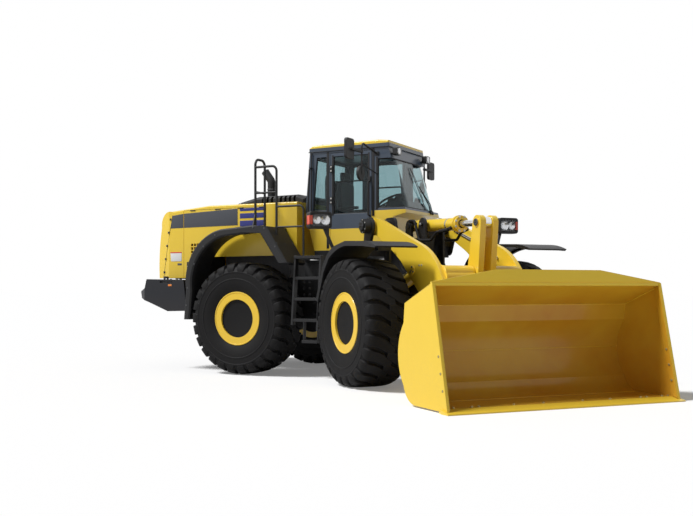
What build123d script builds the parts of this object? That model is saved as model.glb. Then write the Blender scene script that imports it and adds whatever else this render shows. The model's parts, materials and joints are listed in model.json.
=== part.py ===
"""Articulated wheel loader, about 23 tonnes, parked: turned to its right stop, bucket flat on the ground.

Frame while drawing: x forward along the rear frame, y to its left, z up, with the zero on the articulation
axis at ground level. The front half is drawn straight ahead and turned about that axis at the end. Every
piece is then shifted so that the origin is under the middle of the whole machine. Millimetres.
"""
from build123d import *
from math import acos, atan2, cos, hypot, radians, sin
import os

os.makedirs("parts", exist_ok=True)

# ---------------------------------------------------------------- driving dimensions
WHEELBASE = 3450
TREAD = 2300                # between the middles of the two wheels of an axle
TYRE_DIAMETER = 1720        # under load
TYRE_WIDTH = 675
BEAD_RADIUS = 318
RIM_FLANGE_RADIUS = 398
RIM_WIDTH = 580
BUCKET_WIDTH = 3170
CAB_HALF_WIDTH = 640
CAB_ROOF_HEIGHT = 3530
HOOD_HALF_WIDTH = 850
HOOD_TOP = 2665
COUNTERWEIGHT_HALF_WIDTH = 1300
STEER_STOP = 37             # degrees to either side; parked on the right-hand stop

# ---------------------------------------------------------------- clearances and plate thicknesses
PIN_PLAY = 1.5              # radial play round a pin
SIDE_PLAY = 6               # beside an eye or lug that swings
SEAM = 6                    # gap round a door or panel
SHEET = 30                  # fender and hood walls
FRAME_PLATE = 40
GLASS = 10
CAB_WALL = 50

# ---------------------------------------------------------------- stations
AXLE = WHEELBASE / 2
AXLE_HEIGHT = TYRE_DIAMETER / 2
WHEEL_MIDDLE = TREAD / 2
TYRE_INNER = WHEEL_MIDDLE - TYRE_WIDTH / 2
HINGE_TOP = 1425            # middle height of the upper articulation plate
HINGE_BOTTOM = 685
HINGE_PLATE = 50
FORK_PLATE = 36
HINGE_PIN = 45              # radius
HINGE_NOSE = 165            # radius of the rounded plate ends
REAR_PLATE = 400            # inner face of a rear frame side plate

# Working linkage, (x, z) with the front frame straight ahead
BOOM_PIVOT = (980, 2210)
BUCKET_PIVOT = (3280, 430)
LEVER_PIVOT = (2780, 1450)
BOOM_TUBE = (2450, 1470)     # cross tube behind the tilt lever
LEVER_TOP = (2880, 2160)
LEVER_FOOT = (2552, 788)
BUCKET_LINK_PIN = (3407, 745)
LIFT_BASE = (760, 1100)
LIFT_ROD_PIN = (2120, 1560)
TILT_BASE = (1120, 2220)
STEER_REAR_PIN = (-720, 500)    # (x, distance from the middle)
STEER_FRONT_PIN = (520, 450)
STEER_HEIGHT = 1000

LIFT_LINE = 470             # middle of a lift cylinder, across
LIFT_BARREL = (85, 60)      # outer and inner radius
LIFT_ROOM = 15              # beside a lift cylinder's barrel
ARM_THICKNESS = 60
ARM_INNER = LIFT_LINE + LIFT_BARREL[0] + LIFT_ROOM
ARM_OUTER = ARM_INNER + ARM_THICKNESS
FRONT_PLATE = LIFT_LINE - LIFT_BARREL[0] - LIFT_ROOM - FRAME_PLATE    # inner face of a front frame side plate
PIN_BIG = 50
PIN_SMALL = 40

LEFT, RIGHT = 1, -1
BOTH = (RIGHT, LEFT)


# ---------------------------------------------------------------- shared operations
def trace(outline):
    """Closed line through an outline's corners. A pair of points is an arc: a point on it, then its end."""
    here = outline[0]
    for step in (*outline[1:], outline[0]):
        if isinstance(step[0], tuple):
            ThreePointArc(here, *step)
            here = step[1]
        elif step != here:
            Line(here, step)
            here = step


def plate(outline, inner, outer, sides=BOTH, inset=0, mode=Mode.ADD):
    """Plate with an (x, z) outline, from inner to outer distance across, on each side."""
    for side in sides:
        with BuildSketch(Plane.XZ.offset(-side * (inner + outer) / 2)) as profile:
            with BuildLine():
                trace(outline)
            make_face()
            if inset:
                offset(amount=-inset, kind=Kind.INTERSECTION, mode=Mode.REPLACE)
        extrude(profile.sketch, amount=(outer - inner) / 2, both=True, mode=mode)


def middle_plate(outline, half_width, inset=0, mode=Mode.ADD):
    """Plate or block across the middle of the machine."""
    plate(outline, -half_width, half_width, (LEFT,), inset, mode)


def deck(outline, bottom, top, sides=(LEFT,), mode=Mode.ADD):
    """Level plate with an (x, y) outline, mirrored for the right side."""
    for side in sides:
        with BuildSketch(Plane.XY.offset(bottom)) as profile:
            with BuildLine():
                Polyline(*[(x, side * y) for x, y in outline], close=True)
            make_face()
        extrude(profile.sketch, amount=top - bottom, mode=mode)


def block(x_range, y_range, z_range, mode=Mode.ADD):
    """Box between three pairs of limits."""
    middle = [(low + high) / 2 for low, high in (x_range, y_range, z_range)]
    with Locations(tuple(middle)):
        Box(*[high - low for low, high in (x_range, y_range, z_range)], mode=mode)


def cross_rod(point, radius, inner, outer, sides=BOTH, mode=Mode.ADD):
    """Round bar across the machine at an (x, z) point."""
    for side in sides:
        with Locations(Location((point[0], side * (inner + outer) / 2, point[1]), (90, 0, 0))):
            Cylinder(radius, outer - inner, mode=mode)


def belt(start, start_radius, end, end_radius, inner, outer, sides=BOTH, mode=Mode.ADD):
    """Bar of plate round two bosses, its edges tangent to both; points are (x, z)."""
    reach = hypot(end[0] - start[0], end[1] - start[1])
    heading = atan2(end[1] - start[1], end[0] - start[0])
    lean = acos((start_radius - end_radius) / reach)
    corners = [(point[0] + radius * cos(heading + turn), point[1] + radius * sin(heading + turn))
               for point, radius, turn in ((start, start_radius, lean), (end, end_radius, lean),
                                           (end, end_radius, -lean), (start, start_radius, -lean))]
    plate(corners, inner, outer, sides, mode=mode)
    for point, radius in ((start, start_radius), (end, end_radius)):
        cross_rod(point, radius, inner, outer, sides, mode)


def moved(outline, along):
    """Outline moved along the machine, its arcs too."""
    return [tuple((x + along, z) for x, z in step) if isinstance(step[0], tuple) else (step[0] + along, step[1])
            for step in outline]


def bar(start, end, radius, mode=Mode.ADD):
    """Round bar between two (x, y, z) points."""
    along = Vector(*end) - Vector(*start)
    with Locations(Plane(origin=start, z_dir=along)):
        Cylinder(radius, along.length, align=(Align.CENTER, Align.CENTER, Align.MIN), mode=mode)


def pipe(points, radius, bend):
    """Bent round tube along (x, y, z) points."""
    with BuildLine() as path:
        if len(points) > 2:
            FilletPolyline(*points, radius=bend)
        else:
            Line(*points)
    with BuildSketch(Plane(origin=path.line @ 0, z_dir=path.line % 0)) as section:
        Circle(radius)
    sweep(section.sketch, path=path.line)


def at_side(point, across):
    """An (x, z) point moved across the machine."""
    return (point[0], across, point[1])


def between(start, end, share):
    """Point on the line between two points."""
    return tuple(a + (b - a) * share for a, b in zip(start, end))


def turned(point, angle):
    """Plan point turned about the articulation axis, degrees to the left."""
    x, y = point
    c, s = cos(radians(angle)), sin(radians(angle))
    return (x * c - y * s, x * s + y * c)


# ================================================================ wheels
tyre_section = [
    (-RIM_WIDTH / 2 + 40, BEAD_RADIUS + 14), (-RIM_WIDTH / 2 + 22, RIM_FLANGE_RADIUS + 6),
    (-TYRE_WIDTH / 2, 600), (-TYRE_WIDTH / 2 + 20, 760), (-TYRE_WIDTH / 2 + 60, AXLE_HEIGHT - 18),
    (-TYRE_WIDTH / 2 + 110, AXLE_HEIGHT),
]
wheel_places = [
    # name, x, side, on the front frame
    ("front_left", AXLE, LEFT, True),
    ("front_right", AXLE, RIGHT, True),
    ("rear_left", -AXLE, LEFT, False),
    ("rear_right", -AXLE, RIGHT, False),
]
DISC = 15                   # outer face of the wheel disc, from the wheel's middle
HUB_RADIUS = 175
HUB_REACH = 150             # how far the hub stands out of the wheel's middle
DRUM_RADIUS = 225

rear_parts = []
front_parts = []
for name, x, side, in_front in wheel_places:
    axis = Axis((x, 0, AXLE_HEIGHT), (0, 1, 0))
    middle = side * WHEEL_MIDDLE
    with BuildPart() as tyre:
        outer = [(s, r) for s, r in tyre_section] + [(-s, r) for s, r in reversed(tyre_section)]
        inner_r = BEAD_RADIUS + 30
        cavity = [(s * 0.88, inner_r + (r - inner_r) * 0.9) for s, r in tyre_section[1:]]
        cavity += [(-s, r) for s, r in reversed(cavity)]
        for points, mode in ((outer, Mode.ADD), (cavity, Mode.SUBTRACT)):
            with BuildSketch(Plane.YZ.offset(x)) as section:
                with BuildLine():
                    Polyline(*[(middle + s, AXLE_HEIGHT + r) for s, r in points], close=True)
                make_face()
            revolve(section.sketch, axis=axis, mode=mode)
    tyre.part.label = "tyre_" + name
    with BuildPart() as rim:
        half = RIM_WIDTH / 2
        section_points = [
            (half, 290), (half, RIM_FLANGE_RADIUS), (half - 18, RIM_FLANGE_RADIUS),
            (half - 26, BEAD_RADIUS + 12), (-half + 26, BEAD_RADIUS + 12),
            (-half + 18, RIM_FLANGE_RADIUS), (-half, RIM_FLANGE_RADIUS), (-half, 300),
            (DISC - 28, 300), (DISC - 28, 60), (HUB_REACH, 60), (HUB_REACH, HUB_RADIUS - 40),
            (HUB_REACH - 30, HUB_RADIUS), (DISC, HUB_RADIUS), (DISC, 262), (DISC + 50, 290),
        ]
        with BuildSketch(Plane.YZ.offset(x)) as section:
            with BuildLine():
                Polyline(*[(middle + side * s, AXLE_HEIGHT + r) for s, r in section_points], close=True)
            make_face()
        revolve(section.sketch, axis=axis)
        cross_rod((x, AXLE_HEIGHT), 60, WHEEL_MIDDLE + DISC - 28, WHEEL_MIDDLE + HUB_REACH, (side,))
    rim.part.label = "rim_" + name
    (front_parts if in_front else rear_parts).extend([tyre.part, rim.part])


def axle_housing(x):
    """Differential ball, tapered housings, brake drums and spindles of one axle."""
    with Locations((x, 0, AXLE_HEIGHT)):
        Sphere(270)
    for side in BOTH:
        with BuildSketch(Plane.YZ.offset(x)) as section:
            with BuildLine():
                Polyline(
                    *[(side * y, AXLE_HEIGHT + r) for y, r in (
                        (0, 0), (0, 200), (230, 170), (560, 125), (640, 130), (650, DRUM_RADIUS),
                        (WHEEL_MIDDLE - 120, DRUM_RADIUS), (WHEEL_MIDDLE - 110, 150),
                        (WHEEL_MIDDLE - 30, 140), (WHEEL_MIDDLE - 30, 0),
                    )], close=True)
            make_face()
        revolve(section.sketch, axis=Axis((x, 0, AXLE_HEIGHT), (0, 1, 0)))


# ================================================================ rear half
CAB_FLOOR = 1900
CAB_BELT = 2480               # seam between the lower panels and the windows
CAB_EAVE = 3420
CAB_EAVE_FRONT = 430
CAB_EAVE_REAR = -900
CAB_NOSE = (720, 2430)        # foot of the windshield
CAB_SHOULDER = (510, 2380)    # foremost corner of the lower cab, beside the front tower
CAB_TAIL = (-980, 2500)
cab_side = [(-820, CAB_FLOOR), CAB_TAIL, (CAB_EAVE_REAR, CAB_EAVE), (CAB_EAVE_FRONT, CAB_EAVE), CAB_NOSE,
            CAB_SHOULDER, (480, CAB_FLOOR)]

TRUNNION_REACH = 330
TRUNNION_RADIUS = 95
HANGER = 60
with BuildPart() as rear_axle:
    axle_housing(-AXLE)
    bar((-AXLE - TRUNNION_REACH - HANGER, 0, AXLE_HEIGHT),
        (-AXLE + TRUNNION_REACH + HANGER, 0, AXLE_HEIGHT), TRUNNION_RADIUS)
rear_axle.part.label = "rear_axle"

HOOD_BOTTOM = 1490
COUNTERWEIGHT_FACE = [(-2790, 960), (-2850, 1450)]   # (x, z) of its slanting front face
with BuildPart() as rear_frame:
    plate([(-800, 700), (-800, 1450), (-1000, HOOD_BOTTOM), (-2840, HOOD_BOTTOM), COUNTERWEIGHT_FACE[1],
           COUNTERWEIGHT_FACE[0], (-2300, 930), (-2150, 1180), (-1300, 1180), (-1180, 700)],
          REAR_PLATE, REAR_PLATE + FRAME_PLATE)
    for height in (HINGE_BOTTOM, HINGE_TOP):
        deck([(-1170, REAR_PLATE), (-800, REAR_PLATE), (-120, HINGE_NOSE), (0, HINGE_NOSE),
              (0, -HINGE_NOSE), (-120, -HINGE_NOSE), (-800, -REAR_PLATE), (-1170, -REAR_PLATE)],
             height - HINGE_PLATE / 2, height + HINGE_PLATE / 2)
        with Locations((0, 0, height)):
            Cylinder(HINGE_NOSE, HINGE_PLATE)
            Cylinder(HINGE_PIN + PIN_PLAY, HINGE_PLATE, mode=Mode.SUBTRACT)
    for place in (-AXLE - TRUNNION_REACH - HANGER / 2, -AXLE + TRUNNION_REACH + HANGER / 2):
        block((place - HANGER / 2, place + HANGER / 2), (-REAR_PLATE, REAR_PLATE), (AXLE_HEIGHT - 180, 1260))
        bar((place - HANGER / 2, 0, AXLE_HEIGHT), (place + HANGER / 2, 0, AXLE_HEIGHT), TRUNNION_RADIUS,
            Mode.SUBTRACT)
    block((-2780, -2720), (-REAR_PLATE, REAR_PLATE), (980, 1440))
    for side in BOTH:
        for low in (STEER_HEIGHT - 100, STEER_HEIGHT + 70):
            deck([(-900, REAR_PLATE + FRAME_PLATE), (-900, STEER_REAR_PIN[1] + 60),
                  (STEER_REAR_PIN[0] + 60, STEER_REAR_PIN[1] + 60),
                  (STEER_REAR_PIN[0] + 60, STEER_REAR_PIN[1] - 50), (-800, REAR_PLATE + FRAME_PLATE)],
                 low, low + 30, (side,))
        with Locations((STEER_REAR_PIN[0], side * STEER_REAR_PIN[1], STEER_HEIGHT)):
            Cylinder(PIN_SMALL, 220)
rear_frame.part.label = "rear_frame"

TOW_PIN = (-3690, 25)         # (x, radius) of the towing pin's upright bore
TOW_JAW = (1165, 1245)        # bottom and top of the jaw that takes the tow bar's eye
TOW_BORE = (1100, 1290)       # its bore, from the flat boss underneath to the spot face on top
TIE_DOWN = (-3000, 885)       # (x, z) of the hole in a tie-down lug
TIE_DOWN_RADIUS = 30
TIE_DOWN_LUG = (480, 520)
CORNER_CUT = 150              # chamfer of the upright rear corners
with BuildPart() as counterweight:
    middle_plate([(-3610, 1470), (-3650, 1320), (-3800, 1270), (-3760, 1160), (-3550, 1090), (-3170, 950),
                  COUNTERWEIGHT_FACE[0], COUNTERWEIGHT_FACE[1]], COUNTERWEIGHT_HALF_WIDTH)
    fillet([edge for edge in counterweight.edges().filter_by(Axis.Y)
            if edge.center().X < -3500 and edge.center().Z > 1250], 18)
    deck([(-3900, COUNTERWEIGHT_HALF_WIDTH - CORNER_CUT), (-3800 + CORNER_CUT, COUNTERWEIGHT_HALF_WIDTH + 1),
          (-3900, COUNTERWEIGHT_HALF_WIDTH + 1)], 900, 1500, BOTH, Mode.SUBTRACT)
    plate([(-3330, 1436), (-3330, 1408), (-3080, 1408), (-3080, 1436)],
          COUNTERWEIGHT_HALF_WIDTH - 40, COUNTERWEIGHT_HALF_WIDTH + 1, mode=Mode.SUBTRACT)
    for side in BOTH:
        block((-3900, -3600), sorted((side * 700, side * 960)), (1345, 1430), mode=Mode.SUBTRACT)
    with Locations((TOW_PIN[0], 0, (TOW_BORE[0] + TOW_JAW[0]) / 2)):
        Cylinder(3 * TOW_PIN[1], TOW_JAW[0] - TOW_BORE[0])
    block((-3810, TOW_PIN[0] + 130), (-130, 130), TOW_JAW, mode=Mode.SUBTRACT)
    with Locations((TOW_PIN[0], 0, sum(TOW_BORE) / 2)):
        Cylinder(TOW_PIN[1], TOW_BORE[1] - TOW_BORE[0], mode=Mode.SUBTRACT)
    with Locations((TOW_PIN[0], 0, TOW_BORE[1])):
        Cylinder(2 * TOW_PIN[1], 100, align=(Align.CENTER, Align.CENTER, Align.MIN), mode=Mode.SUBTRACT)
    plate([(TIE_DOWN[0] - 110, 980), (TIE_DOWN[0] - 60, TIE_DOWN[1]), (TIE_DOWN[0] + 60, TIE_DOWN[1]),
           (TIE_DOWN[0] + 110, 980)], *TIE_DOWN_LUG)
    cross_rod(TIE_DOWN, 60, *TIE_DOWN_LUG)
    cross_rod(TIE_DOWN, TIE_DOWN_RADIUS, *TIE_DOWN_LUG, mode=Mode.SUBTRACT)
counterweight.part.label = "counterweight"

HOOD_FRONT = -1010
DOOR_REAR = -3190
DOOR_TOP = 2606
DOOR_FRONT = -1570            # behind the handrails, so that the door can swing up
TYRE_CLEAR = 1830             # lower edge of the hood over the rear wheels
GRILLE_HALF = 620
GRILLE_BOTTOM = 1560
GRILLE_TOP = 2330
side_door = [(DOOR_REAR, HOOD_BOTTOM - SEAM), (DOOR_REAR, DOOR_TOP), (DOOR_FRONT, DOOR_TOP), (DOOR_FRONT, 2290),
             (-2100, 2290), (-2520, 2110), (-2780, HOOD_BOTTOM - SEAM)]
hood_side = [(-3770, HOOD_BOTTOM), ((-3752, 2060), (-3700, 2340)), ((-3645, 2530), (-3460, 2600)),
             (-2660, HOOD_TOP), (HOOD_FRONT, HOOD_TOP - 10), (HOOD_FRONT, HOOD_BOTTOM)]
hood_space = [(-3770 + SHEET, HOOD_BOTTOM - 10), ((-3720, 2055), (-3668, 2330)), ((-3620, 2500), (-3458, 2566)),
              (-2660, HOOD_TOP - SHEET), (HOOD_FRONT - SHEET, HOOD_TOP - SHEET - 10),
              (HOOD_FRONT - SHEET, HOOD_BOTTOM - 10)]
HOOD_TAPER = (-3500, 95)      # where the tail starts to narrow, and by how much on each side at its end
HOOD_EDGE = 24                # rounding of the long upper edges
with BuildPart() as hood:
    middle_plate(hood_side, HOOD_HALF_WIDTH)
    deck([(HOOD_TAPER[0], HOOD_HALF_WIDTH), (-3790, HOOD_HALF_WIDTH - HOOD_TAPER[1]),
          (-3790, HOOD_HALF_WIDTH + 1), (HOOD_TAPER[0], HOOD_HALF_WIDTH + 1)],
         HOOD_BOTTOM, HOOD_TOP, BOTH, Mode.SUBTRACT)
    fillet([edge for edge in hood.edges() if edge.center().Z > 2590 and edge.length > 500
            and abs(edge.center().Y) > HOOD_HALF_WIDTH - 1], HOOD_EDGE)
    middle_plate(hood_space, HOOD_HALF_WIDTH - SHEET - HOOD_TAPER[1], mode=Mode.SUBTRACT)
    block((HOOD_TAPER[0], HOOD_FRONT - SHEET), (-HOOD_HALF_WIDTH + SHEET, HOOD_HALF_WIDTH - SHEET),
          (HOOD_BOTTOM - 10, 2560), mode=Mode.SUBTRACT)
    plate(side_door, HOOD_HALF_WIDTH - SHEET - 10, HOOD_HALF_WIDTH + 10, mode=Mode.SUBTRACT)
    block((-2840, HOOD_FRONT + 10), (-HOOD_HALF_WIDTH - 10, HOOD_HALF_WIDTH + 10),
          (HOOD_BOTTOM - 10, TYRE_CLEAR), mode=Mode.SUBTRACT)
    block((-3900, -3600), (-GRILLE_HALF, GRILLE_HALF), (GRILLE_BOTTOM, GRILLE_TOP), mode=Mode.SUBTRACT)
hood.part.label = "hood"

COVER_HALF = 520
COVER_RIB_PITCH = 84
with BuildPart() as hood_top_cover:
    middle_plate([(-2420, HOOD_TOP - 20), (-2330, 2715), (-1940, 2800), (-1200, 2805), (-1060, 2750),
                  (-1040, HOOD_TOP - 20)], COVER_HALF)
    chamfer([edge for edge in hood_top_cover.edges() if edge.center().Z > HOOD_TOP + 20
             and abs(edge.center().Y) > COVER_HALF - 1], 45)
    for number in range(8):
        place = -1860 + number * COVER_RIB_PITCH
        plate([(place, 2692), (place, 2790), (place + 44, 2790), (place + 44, 2692)],
              COVER_HALF - 60, COVER_HALF + 1, mode=Mode.SUBTRACT)
    middle_plate(hood_side, HOOD_HALF_WIDTH, mode=Mode.SUBTRACT)
hood_top_cover.part.label = "hood_top_cover"

VENT_START = (-3040, 1840)    # (x, z) of the first vent opening's corner
VENT_PITCH = 57
VENT_OPENING = 43
engine_doors = []
for side, name in ((LEFT, "engine_door_left"), (RIGHT, "engine_door_right")):
    with BuildPart() as engine_door:
        plate(side_door, HOOD_HALF_WIDTH - SHEET, HOOD_HALF_WIDTH, (side,), SEAM)
        for column in range(5):
            for row in range(4):
                low = (VENT_START[0] + column * VENT_PITCH, VENT_START[1] + row * VENT_PITCH)
                plate([low, (low[0] + VENT_OPENING, low[1]), (low[0] + VENT_OPENING, low[1] + VENT_OPENING),
                       (low[0], low[1] + VENT_OPENING)],
                      HOOD_HALF_WIDTH - SHEET - 1, HOOD_HALF_WIDTH + 1, (side,), mode=Mode.SUBTRACT)
    engine_door.part.label = name
    engine_doors.append(engine_door.part)

GRILLE_FRAME = 55
GRILLE_SLATS = 12
with BuildPart() as rear_grille:
    grille_rear = (-3764, -3742)          # x of its rear face at its bottom and at its top
    grille_low, grille_high = GRILLE_BOTTOM + SEAM, GRILLE_TOP - SEAM
    grille_half = GRILLE_HALF - SEAM
    middle_plate([(grille_rear[0], grille_low), (grille_rear[1], grille_high), (grille_rear[1] + 36, grille_high),
                  (grille_rear[0] + 36, grille_low)], grille_half)
    block((-3900, -3600), (-grille_half + GRILLE_FRAME, grille_half - GRILLE_FRAME),
          (grille_low + GRILLE_FRAME, grille_high - GRILLE_FRAME), Mode.SUBTRACT)
    slat_pitch = (grille_high - grille_low - 2 * GRILLE_FRAME) / GRILLE_SLATS
    for number in range(GRILLE_SLATS):
        height = grille_low + GRILLE_FRAME + (number + 0.5) * slat_pitch
        rear = grille_rear[0] + (grille_rear[1] - grille_rear[0]) * (height - grille_low) / (grille_high - grille_low)
        middle_plate([(rear + 2, height - 20), (rear + 10, height - 20), (rear + 34, height + 12),
                      (rear + 26, height + 12)], grille_half - GRILLE_FRAME + 2)
    for across in (-200, 200):
        block((rear + 14, rear + 26), (across - 10, across + 10),
              (grille_low + GRILLE_FRAME - 2, grille_high - GRILLE_FRAME + 2))
rear_grille.part.label = "rear_grille"

with BuildPart() as radiator:
    block((-3560, -3380), (-600, 600), (1480, 2350))
radiator.part.label = "radiator"

with BuildPart() as engine:
    block((-2700, -1450), (-330, 330), (1290, 2050))
engine.part.label = "engine"

with BuildPart() as transmission:
    gearbox_rear = -AXLE + TRUNNION_REACH + HANGER + 85
    block((gearbox_rear, gearbox_rear + 390), (-300, 300), (760, 1385))
    bar((gearbox_rear + 390, 0, AXLE_HEIGHT), (-90, 0, AXLE_HEIGHT), 50)
    bar((gearbox_rear, 0, AXLE_HEIGHT), (-AXLE + TRUNNION_REACH + HANGER, 0, AXLE_HEIGHT), 50)
transmission.part.label = "transmission"

with BuildPart() as exhaust_stack:
    pipe([(-1880, -200, 2805), (-1880, -200, 3080), (-2000, -200, 3240)], 65, 100)
exhaust_stack.part.label = "exhaust_stack"

FENDER_OUTER = 1450
FENDER_INNER = 900
FENDER_LIP = 95               # width of the thick outer lip
rear_arch = moved([(-1015, 830), (-975, 1290), ((-715, 2030), (-295, 2230)), (255, 2270), (525, 2250),
                   (895, 1700), (845, 1668), (490, 2190), (255, 2210), ((-15, 2192), (-285, 2170)),
                   ((-668, 1985), (-915, 1285)), (-955, 830)], -AXLE)
rear_lip = moved([(-1015, 830), (-975, 1290), ((-715, 2030), (-295, 2230)), (255, 2270), (525, 2250),
                  (895, 1700), (735, 1690), (415, 2150), (255, 2160), ((0, 2142), (-260, 2118)),
                  ((-612, 1945), (-855, 1280)), (-900, 830)], -AXLE)
with BuildPart() as rear_fenders:
    plate(rear_arch, FENDER_INNER, FENDER_OUTER - FENDER_LIP)
    plate(rear_lip, FENDER_OUTER - FENDER_LIP, FENDER_OUTER)
    chamfer([edge for edge in rear_fenders.edges() if abs(abs(edge.center().Y) - FENDER_OUTER) < 1
             and edge.length > 300], 22)
    plate(moved([(-295, 2230), (255, 2270), (525, 2250), (525, 2205), (255, 2210), (-285, 2170)], -AXLE),
          HOOD_HALF_WIDTH, FENDER_INNER)
rear_fenders.part.label = "rear_fenders"

STEP_REAR = -AXLE + AXLE_HEIGHT + 65  # clear of the rear tyre
STEP_FRONT = STEP_REAR + 460
DECK_HEIGHT = 1800
LADDER_TOP = 1245             # across, middle of the stringers at their top
LADDER_FOOT = 1365
TREAD_HEIGHTS = (850, 1160, 1470)
HANGING_STEP = (STEP_FRONT - 260, STEP_FRONT, 540)    # rear, front and height of the lowest step


def ladder_across(height):
    """Distance across of the ladder's middle at a height."""
    return LADDER_FOOT - (height - 520) * (LADDER_FOOT - LADDER_TOP) / 1240


with BuildPart() as steps:
    for side in BOTH:
        deck([(STEP_REAR, 300), (STEP_REAR, 1300), (STEP_FRONT, 1300), (STEP_FRONT, 300)],
             DECK_HEIGHT - 40, DECK_HEIGHT, (side,))
        for x in (STEP_REAR + 15, STEP_FRONT - 15):
            foot_height = 780 if x < STEP_FRONT - 100 else 700
            with BuildSketch(Plane.YZ.offset(x)) as stringer:
                with BuildLine():
                    top, foot = ladder_across(DECK_HEIGHT - 40), ladder_across(foot_height)
                    trace([(side * (top - 45), DECK_HEIGHT - 40), (side * (top + 45), DECK_HEIGHT - 40),
                           (side * (foot + 45), foot_height), (side * (foot - 45), foot_height)])
                make_face()
            extrude(stringer.sketch, amount=15, both=True)
        for height in TREAD_HEIGHTS:
            across = ladder_across(height)
            block((STEP_REAR + 30, STEP_FRONT - 30), sorted((side * (across - 95), side * (across + 40))),
                  (height - 20, height + 20))
            for number in range(4):
                block((STEP_REAR + 75 + number * 84, STEP_REAR + 129 + number * 84),
                      sorted((side * (across - 70), side * (across + 15))), (height - 21, height + 21),
                      Mode.SUBTRACT)
        rear_x, front_x, low = HANGING_STEP
        across = ladder_across(low)
        block((rear_x, front_x), sorted((side * (across - 100), side * (across + 45))), (low - 20, low + 20))
        for x in (rear_x + 12, front_x - 12):
            with BuildSketch(Plane.YZ.offset(x)) as hanger:
                with BuildLine():
                    trace([(side * (across - 50), low), (side * (across + 20), low),
                           (side * (across + 8), 850), (side * (across - 62), 850)])
                make_face()
            extrude(hanger.sketch, amount=7, both=True)
steps.part.label = "steps"

RAIL_LINE = 1250              # outer posts, across
RAIL_INNER = 985
RAIL_RADIUS = 19
RAIL_REAR, RAIL_MIDDLE, RAIL_FRONT = -1510, -1130, -660
with BuildPart() as handrails:
    for side in BOTH:
        out, inward = side * RAIL_LINE, side * RAIL_INNER
        pipe([(RAIL_REAR, inward, 2240), (RAIL_REAR, inward, 3290), (RAIL_REAR, out, 3290),
              (RAIL_REAR, out, 2230)], RAIL_RADIUS, 90)
        bar((RAIL_REAR, out, 2450), (RAIL_REAR + 15, out + side * 85, 2260), RAIL_RADIUS - 3)
        pipe([(RAIL_REAR, out, 3165), (RAIL_MIDDLE, out, 3165), (RAIL_MIDDLE, out, 2110)], RAIL_RADIUS - 1, 80)
        bar((RAIL_REAR, inward, 2790), (RAIL_REAR, out, 2790), RAIL_RADIUS - 4)
        bar((RAIL_REAR, out, 2770), (RAIL_MIDDLE, out, 2770), RAIL_RADIUS - 4)
        pipe([(RAIL_MIDDLE, out, 2550), (RAIL_FRONT, out, 2550), (RAIL_FRONT, out, DECK_HEIGHT)],
             RAIL_RADIUS - 3, 70)
        bar((RAIL_MIDDLE, out, 2240), (RAIL_FRONT, out, 2240), RAIL_RADIUS - 5)
        pipe([(-865, side * (CAB_HALF_WIDTH - 10), 3170), (-865, side * (CAB_HALF_WIDTH + 75), 3170),
              (-905, side * (CAB_HALF_WIDTH + 75), 2290), (-905, side * (CAB_HALF_WIDTH - 10), 2290)], 14, 35)
    add(rear_fenders.part, mode=Mode.SUBTRACT)
    middle_plate(cab_side, CAB_HALF_WIDTH, mode=Mode.SUBTRACT)
handrails.part.label = "handrails"

# ---------------------------------------------------------------- cab
CAB_DOOR_REAR = -545
CAB_DOOR_FRONT = 160
CAB_DOOR_BOTTOM = 1950
CAB_DOOR_TOP = 3385
WINDOW_BOTTOM = 2510
WINDOW_TOP = 3330
WINDSHIELD_TOP = 3250
cab_opening = [(CAB_DOOR_REAR, CAB_DOOR_BOTTOM), (CAB_DOOR_REAR, CAB_DOOR_TOP),
               (CAB_DOOR_FRONT, CAB_DOOR_TOP), (CAB_DOOR_FRONT, CAB_DOOR_BOTTOM)]


def cab_front(height):
    """x of the raked front face at a height."""
    return CAB_EAVE_FRONT + (CAB_NOSE[0] - CAB_EAVE_FRONT) * (CAB_EAVE - height) / (CAB_EAVE - CAB_NOSE[1])


def cab_rear(height):
    """x of the upper rear face at a height."""
    return CAB_TAIL[0] + (CAB_EAVE_REAR - CAB_TAIL[0]) * (height - CAB_TAIL[1]) / (CAB_EAVE - CAB_TAIL[1])


REAR_PILLAR = 130
DOOR_POST = 62                # pillar on either side of a door
SCREEN_REAR = CAB_DOOR_FRONT + 100    # where the wrap-round windshield starts on each side
SCREEN_CORNER = 190
rear_window = [(cab_rear(WINDOW_BOTTOM) + REAR_PILLAR, WINDOW_BOTTOM),
               (cab_rear(WINDOW_TOP) + REAR_PILLAR, WINDOW_TOP),
               (CAB_DOOR_REAR - DOOR_POST, WINDOW_TOP), (CAB_DOOR_REAR - DOOR_POST, WINDOW_BOTTOM)]
SCREEN_HALF = CAB_HALF_WIDTH - 95     # half width of the rear window


def cab_shell(low, high):
    """Hollow cab between two heights, with its doors and windows open."""
    middle_plate(cab_side, CAB_HALF_WIDTH)
    middle_plate(cab_side, CAB_HALF_WIDTH - CAB_WALL, CAB_WALL, Mode.SUBTRACT)
    for window in (cab_opening, rear_window):
        plate(window, CAB_HALF_WIDTH - CAB_WALL - 10, CAB_HALF_WIDTH + 10, mode=Mode.SUBTRACT)
    block((SCREEN_REAR, 900), (-CAB_HALF_WIDTH - 10, CAB_HALF_WIDTH + 10), (WINDOW_BOTTOM, WINDSHIELD_TOP),
          Mode.SUBTRACT)
    block((-1100, -700), (-SCREEN_HALF, SCREEN_HALF), (WINDOW_BOTTOM + 50, WINDOW_TOP), Mode.SUBTRACT)
    with Locations((0, 0, (low + high) / 2)):
        Box(4000, 4000, high - low, mode=Mode.INTERSECT)


with BuildPart() as cab_lower:
    cab_shell(CAB_FLOOR, CAB_BELT)
cab_lower.part.label = "cab_lower"

with BuildPart() as cab_frame:
    cab_shell(CAB_BELT, CAB_EAVE)
cab_frame.part.label = "cab_frame"

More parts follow.
